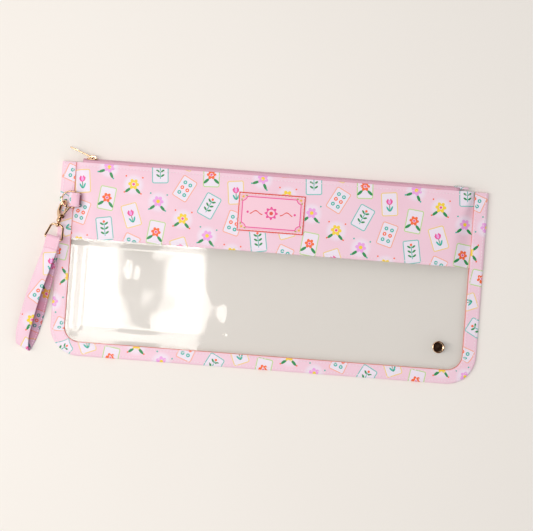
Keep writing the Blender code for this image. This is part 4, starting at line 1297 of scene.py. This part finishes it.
def makeHook():
    look = claspLook
    seat, radius = look["hookSeat"], look["hookRadius"]
    line = [(2.4, radius)] + arcPoints((seat, 0), radius, math.pi / 2, math.pi * 1.5, 12)
    line += [(6.8, -radius), (11.8, -0.6)]
    last = len(line) - 1
    spots = []
    for k, (x, y) in enumerate(line):
        share = (k / last) ** 2
        wide = look["noseWidth"] + (look["limbWidth"] - look["noseWidth"]) * share
        deep = look["noseDepth"] + (look["limbDepth"] - look["noseDepth"]) * share
        spots.append((x, y, wide, deep))
    path = fineCurve(spots, 4)
    path[0][2] *= 0.6
    path[0][3] *= 0.6
    hook = sweep(ovalRings(path, look["sides"]))
    left, right, low, high, corner = look["ears"]
    outline = []
    for quarter, (x, y) in enumerate(((right, high), (left, high), (left, low), (right, low))):
        centre = (x - corner if x == right else x + corner, y - corner if y == high else y + corner)
        outline += arcPoints(centre, corner, quarter * math.pi / 2, (quarter + 1) * math.pi / 2, 5)
    ears = []
    for side in (-1, 1):
        rings = [[(x, y, side * z) for x, y in outline] for z in (look["earInner"], look["earOuter"])]
        ears.append(sweep(rings))
    shape = together(hook, lathe(look["barrel"], 32), *ears)
    return metalPiece("clasp_hook", shape, look["origin"], look["along"], look["hookAcross"])


def makeEye():
    look = claspLook
    corner, foot = look["eyeTopCorner"], look["eyeBarCorner"]
    top = arcPoints((look["eyeTop"] + corner, look["eyeHalfTop"] - corner), corner, math.pi, math.pi / 2, 8)
    low = arcPoints((look["eyeBar"] - foot, foot - look["eyeHalfWidth"]), foot, -math.pi / 2, 0, 6)
    half = [(x, -y) for x, y in top] + low
    line = half + [(x, -y) for x, y in reversed(half)]
    path = [(x, y, look["eyeWire"], look["eyeWire"]) for x, y in line]
    shape = together(sweep(ovalRings(path, 16, closed=True), closed=True), lathe(look["boss"], 32))
    return metalPiece("swivel_frame", shape, look["origin"], look["along"], look["eyeAcross"])


def makeRing():
    look = ringLook
    turns = [math.tau * step / look["steps"] for step in range(look["steps"])]
    path = []
    for turn in turns:
        x, y = look["centreX"] + look["radius"] * math.cos(turn), look["radius"] * math.sin(turn)
        path.append((x, y, look["wire"], look["wire"]))
    tilt = look["tilt"]
    shape = sweep(ovalRings(path, look["sides"], closed=True), closed=True)
    return metalPiece("round_ring", shape, tabLook["right"], (math.cos(tilt), 0, -math.sin(tilt)), (0, 1, 0))


def polishedCopy(node, name, edge):
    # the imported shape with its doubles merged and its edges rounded
    mesh = cadNodes[node].data.copy()
    mesh.name = name
    merged = bmesh.new()
    merged.from_mesh(mesh)
    bmesh.ops.remove_doubles(merged, verts=merged.verts, dist=0.002 * mm)
    bmesh.ops.dissolve_limit(merged, angle_limit=math.radians(1), verts=merged.verts, edges=merged.edges)
    merged.to_mesh(mesh)
    merged.free()
    mesh.polygons.foreach_set("use_smooth", [True] * len(mesh.polygons))
    mesh.materials.clear()
    mesh.materials.append(gold)
    made = bpy.data.objects.new(name, mesh)
    bpy.context.scene.collection.objects.link(made)
    soften(made, edge, angle=35)
    made.modifiers["softEdge"].harden_normals = True
    return made


hook = makeHook()
eyeFrame = makeEye()
post = metalPiece("swivel_stem", lathe(claspLook["post"], 24), claspLook["origin"], claspLook["along"],
                  claspLook["eyeAcross"], 0.08)
ringPiece = makeRing()
gate = polishedCopy("clasp_gate", "gate_lever", 0.15)
slider = polishedCopy("zipper_slider", "slider_crown", 0.2)
pull = polishedCopy("zipper_pull", "pull_blade", 0.2)
studZ = frontWindowZ(studLook["x"], studLook["y"]) + pouch["windowThickness"] + pouch["gap"]
studCap = metalPiece("stud_dome", lathe(studLook["profile"], 48), (studLook["x"], studLook["y"], studZ),
                     (0, 0, 1), (1, 0, 0), 0.05)


# Stitches on the pouch

print("making the stitches")
above = stitchLook["above"]
acrossPouch = evenSteps(-stitchLook["hemReach"], stitchLook["hemReach"], 4)
hemY = pouch["fold"] - bandLook["hemRow"]
hemLine = [(x, hemY, frontBandTop(x, hemY) + above) for x in acrossPouch]
lowY = pouch["bandBottom"] + bandLook["lowRow"]
lowLine = [(x, lowY, frontBandTop(x, lowY) + above) for x in acrossPouch]
reachX = labelLook["halfLength"] - stitchLook["labelInset"]
reachY = labelLook["halfHeight"] - stitchLook["labelInset"]
labelEdge = []
for dx, dy in ((-1, -1), (1, -1), (1, 1), (-1, 1), (-1, -1)):
    labelEdge.append((labelLook["centreX"] + dx * reachX, labelLook["centreY"] + dy * reachY))
labelLine = []
for (x0, y0), (x1, y1) in zip(labelEdge, labelEdge[1:]):
    for t in evenSteps(0, 1, 0.1)[:-1]:
        x, y = x0 + (x1 - x0) * t, y0 + (y1 - y0) * t
        labelLine.append((x, y, frontBandTop(x, y) + pouch["gap"] + labelLook["thickness"] + above))
labelLine.append(labelLine[0])
bindingRows = [offsetRow(stitchLook["bindingInner"], above),
               offsetRow(stitchLook["bindingOuter"], stitchLook["sunk"])]
pouchRows = [hemLine, lowLine, labelLine, *bindingRows, *tabRows]
pouchStitches = stitchRows("pouch_stitches", pouchRows, stitchLook["pouch"])
strapStitches = stitchRows("strap_stitches", strapRows, stitchLook["strap"])


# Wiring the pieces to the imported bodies

def dress(made, body, slot, *replaced):
    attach(made, body)
    if replaced:
        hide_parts(*replaced)


print("wiring the pieces")
dress(frontWindow, "pouch", "clear_vinyl", "front_window")
dress(backWindow, "pouch", "clear_vinyl", "back_window")
dress(frontBand, "pouch", "printed_vinyl", "front_band")
dress(backBand, "pouch", "printed_vinyl", "back_band")
dress(binding, "pouch", "printed_vinyl", "edge_binding")
dress(label, "pouch", "label_vinyl", "label_patch")
dress(frontTape, "pouch", "zip_tape", "zipper_tape_front")
dress(backTape, "pouch", "zip_tape", "zipper_tape_back")
dress(endTab, "pouch", "printed_vinyl", "zipper_end_tab")
dress(tabLoop, "pouch", "printed_vinyl", "tab_loop")
dress(pouchStitches, "pouch", "printed_vinyl")
dress(strap, "strap", "printed_vinyl", "wrist_strap")
dress(strapStitches, "strap", "printed_vinyl")
dress(hook, "clasp", "polished_gold", "clasp_body")
dress(gate, "gate", "polished_gold", "clasp_gate")
dress(eyeFrame, "eye", "polished_gold", "swivel_eye")
dress(post, "eye", "polished_gold", "swivel_post")
dress(ringPiece, "ring", "polished_gold", "tab_ring")
dress(slider, "slider", "polished_gold", "zipper_slider")
dress(pull, "pull", "polished_gold", "zipper_pull")
dress(studCap, "pouch", "polished_gold", "stud_cap")

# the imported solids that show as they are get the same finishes
bareNodes = (
    (gold, ("zipper_slider_back", "clasp_gate_pin", "clasp_gate_spring", "stud_washer")),
    (teethNylon, ("zipper_teeth_front", "zipper_teeth_back", "zipper_top_stop_front", "zipper_top_stop_back",
                  "zipper_bottom_stop")),
)
for material, names in bareNodes:
    for name in names:
        cadNodes[name].data.materials.clear()
        cadNodes[name].data.materials.append(material)


# Camera, light and floor

view = {"lens": 110.0, "sensor": 36, "width": 533, "height": 531, "mmPerPixel": 0.917, "turn": 4.35,
        "centre": (268.6, 271.8), "frontLevel": 0.008}
print("setting the camera and lights")
turn = math.radians(view["turn"])
right = Vector((math.cos(turn), math.sin(turn), 0))
up = Vector((-math.sin(turn), math.cos(turn), 0))
offset = right * (view["centre"][0] - view["width"] / 2) - up * (view["centre"][1] - view["height"] / 2)
eye = -offset * view["mmPerPixel"] * mm
distance = view["lens"] / view["sensor"] * view["width"] * view["mmPerPixel"] * mm
cameraData = bpy.data.cameras.new("camera")
cameraData.lens = view["lens"]
cameraData.sensor_width = view["sensor"]
camera = bpy.data.objects.new("camera", cameraData)
camera.location = (eye.x, eye.y, distance + view["frontLevel"])
camera.rotation_euler = (0, 0, turn)
bpy.context.scene.collection.objects.link(camera)
bpy.context.scene.camera = camera

# soft panels overhead to the left, which the window mirrors, and a wide light from the far left
light = {
    "panelRight": {"place": (-0.153, -0.05, 1.5), "size": (0.07, 0.5), "power": 1.2},
    "panelLow": {"place": (-0.228, -0.225, 1.5), "size": (0.08, 0.19), "power": 0.52},
    "panelHigh": {"place": (-0.228, 0.15, 1.5), "size": (0.08, 0.18), "power": 0.5},
    "panelLeft": {"place": (-0.324, -0.05, 1.5), "size": (0.112, 0.5), "power": 1.9},
    "panelFar": {"place": (-1.39, -0.08, 1.5), "size": (2.02, 0.36), "power": 16.0},
}
for name, values in light.items():
    lampData = bpy.data.lights.new(name, "AREA")
    lampData.shape = "RECTANGLE"
    lampData.size, lampData.size_y = values["size"]
    lampData.energy = values["power"]
    lampData.color = toLinear("#FFFAF4")[:3]
    lamp = bpy.data.objects.new(name, lampData)
    lamp.location = values["place"]
    bpy.context.scene.collection.objects.link(lamp)

roomLook = {
    "strength": 0.54,
    "slope": (-0.75, 0.3, 0.35),
    "walls": ((0.2, "#38241E"), (0.5, "#8E6E5E"), (0.66, "#FFFFFF")),
    "ceiling": "#1C110E",
    "ceilingHeights": (0.62, 0.82),
    "floorTones": ("#F8F4EF", "#F4EFE9"),
    "floorHalf": 4000,
    "floorLevel": -0.2,
}
world = bpy.data.worlds.new("studio")
bpy.context.scene.world = world
world.use_nodes = True
tree = world.node_tree
tree.nodes.clear()
rays = addNode(tree, "ShaderNodeLightPath")
seen = ("MAXIMUM", rays.outputs["Is Camera Ray"], rays.outputs["Is Glossy Ray"])
seen = ("MAXIMUM", seen, rays.outputs["Is Transmission Ray"])
strength = addNode(tree, "ShaderNodeMapRange", {0: seen, 1: 0.0, 2: 1.0, 3: roomLook["strength"], 4: 1.0})
# the room's bright left side, darker right side and dark ceiling, which the polished metal mirrors
direction = addNode(tree, "ShaderNodeTexCoord")
split = addNode(tree, "ShaderNodeSeparateXYZ", {0: direction.outputs["Generated"]})
leftward, upward, start = roomLook["slope"]
slope = ("MULTIPLY_ADD", split.outputs[2], upward, ("MULTIPLY_ADD", split.outputs[0], leftward, start))
walls = addNode(tree, "ShaderNodeValToRGB", {0: slope})
for number, (stop, hexCode) in enumerate(roomLook["walls"]):
    element = walls.color_ramp.elements[number] if number < 2 else walls.color_ramp.elements.new(stop)
    element.position = stop
    element.color = toLinear(hexCode)
low, high = roomLook["ceilingHeights"]
ceiling = addNode(tree, "ShaderNodeMapRange", {0: split.outputs[2], 1: low, 2: high, 3: 0.0, 4: 1.0})
mirrored = paint(tree, walls.outputs[0], ceiling.outputs[0], roomLook["ceiling"])
room = paint(tree, (1, 1, 1, 1), rays.outputs["Is Glossy Ray"], mirrored)
sky = addNode(tree, "ShaderNodeBackground", {"Color": room, "Strength": strength.outputs[0]})
addNode(tree, "ShaderNodeOutputWorld", {0: sky.outputs[0]})


def makeFloor():
    # matt paper backdrop, warm white
    material, tree, shader = newMaterial("mattPaperBackdrop")
    place = addNode(tree, "ShaderNodeTexCoord").outputs["Object"]
    cloudedColour(tree, shader, place, 3.0, 2.0, *roomLook["floorTones"])
    shader.inputs["Roughness"].default_value = 0.9
    half, level = roomLook["floorHalf"], roomLook["floorLevel"]
    corners = [(-half, -half, level), (half, -half, level), (half, half, level), (-half, half, level)]
    floor = makePiece("floor", corners, [(0, 1, 2, 3)], material)


makeFloor()
bpy.context.scene.view_settings.view_transform = "Standard"

print("done")
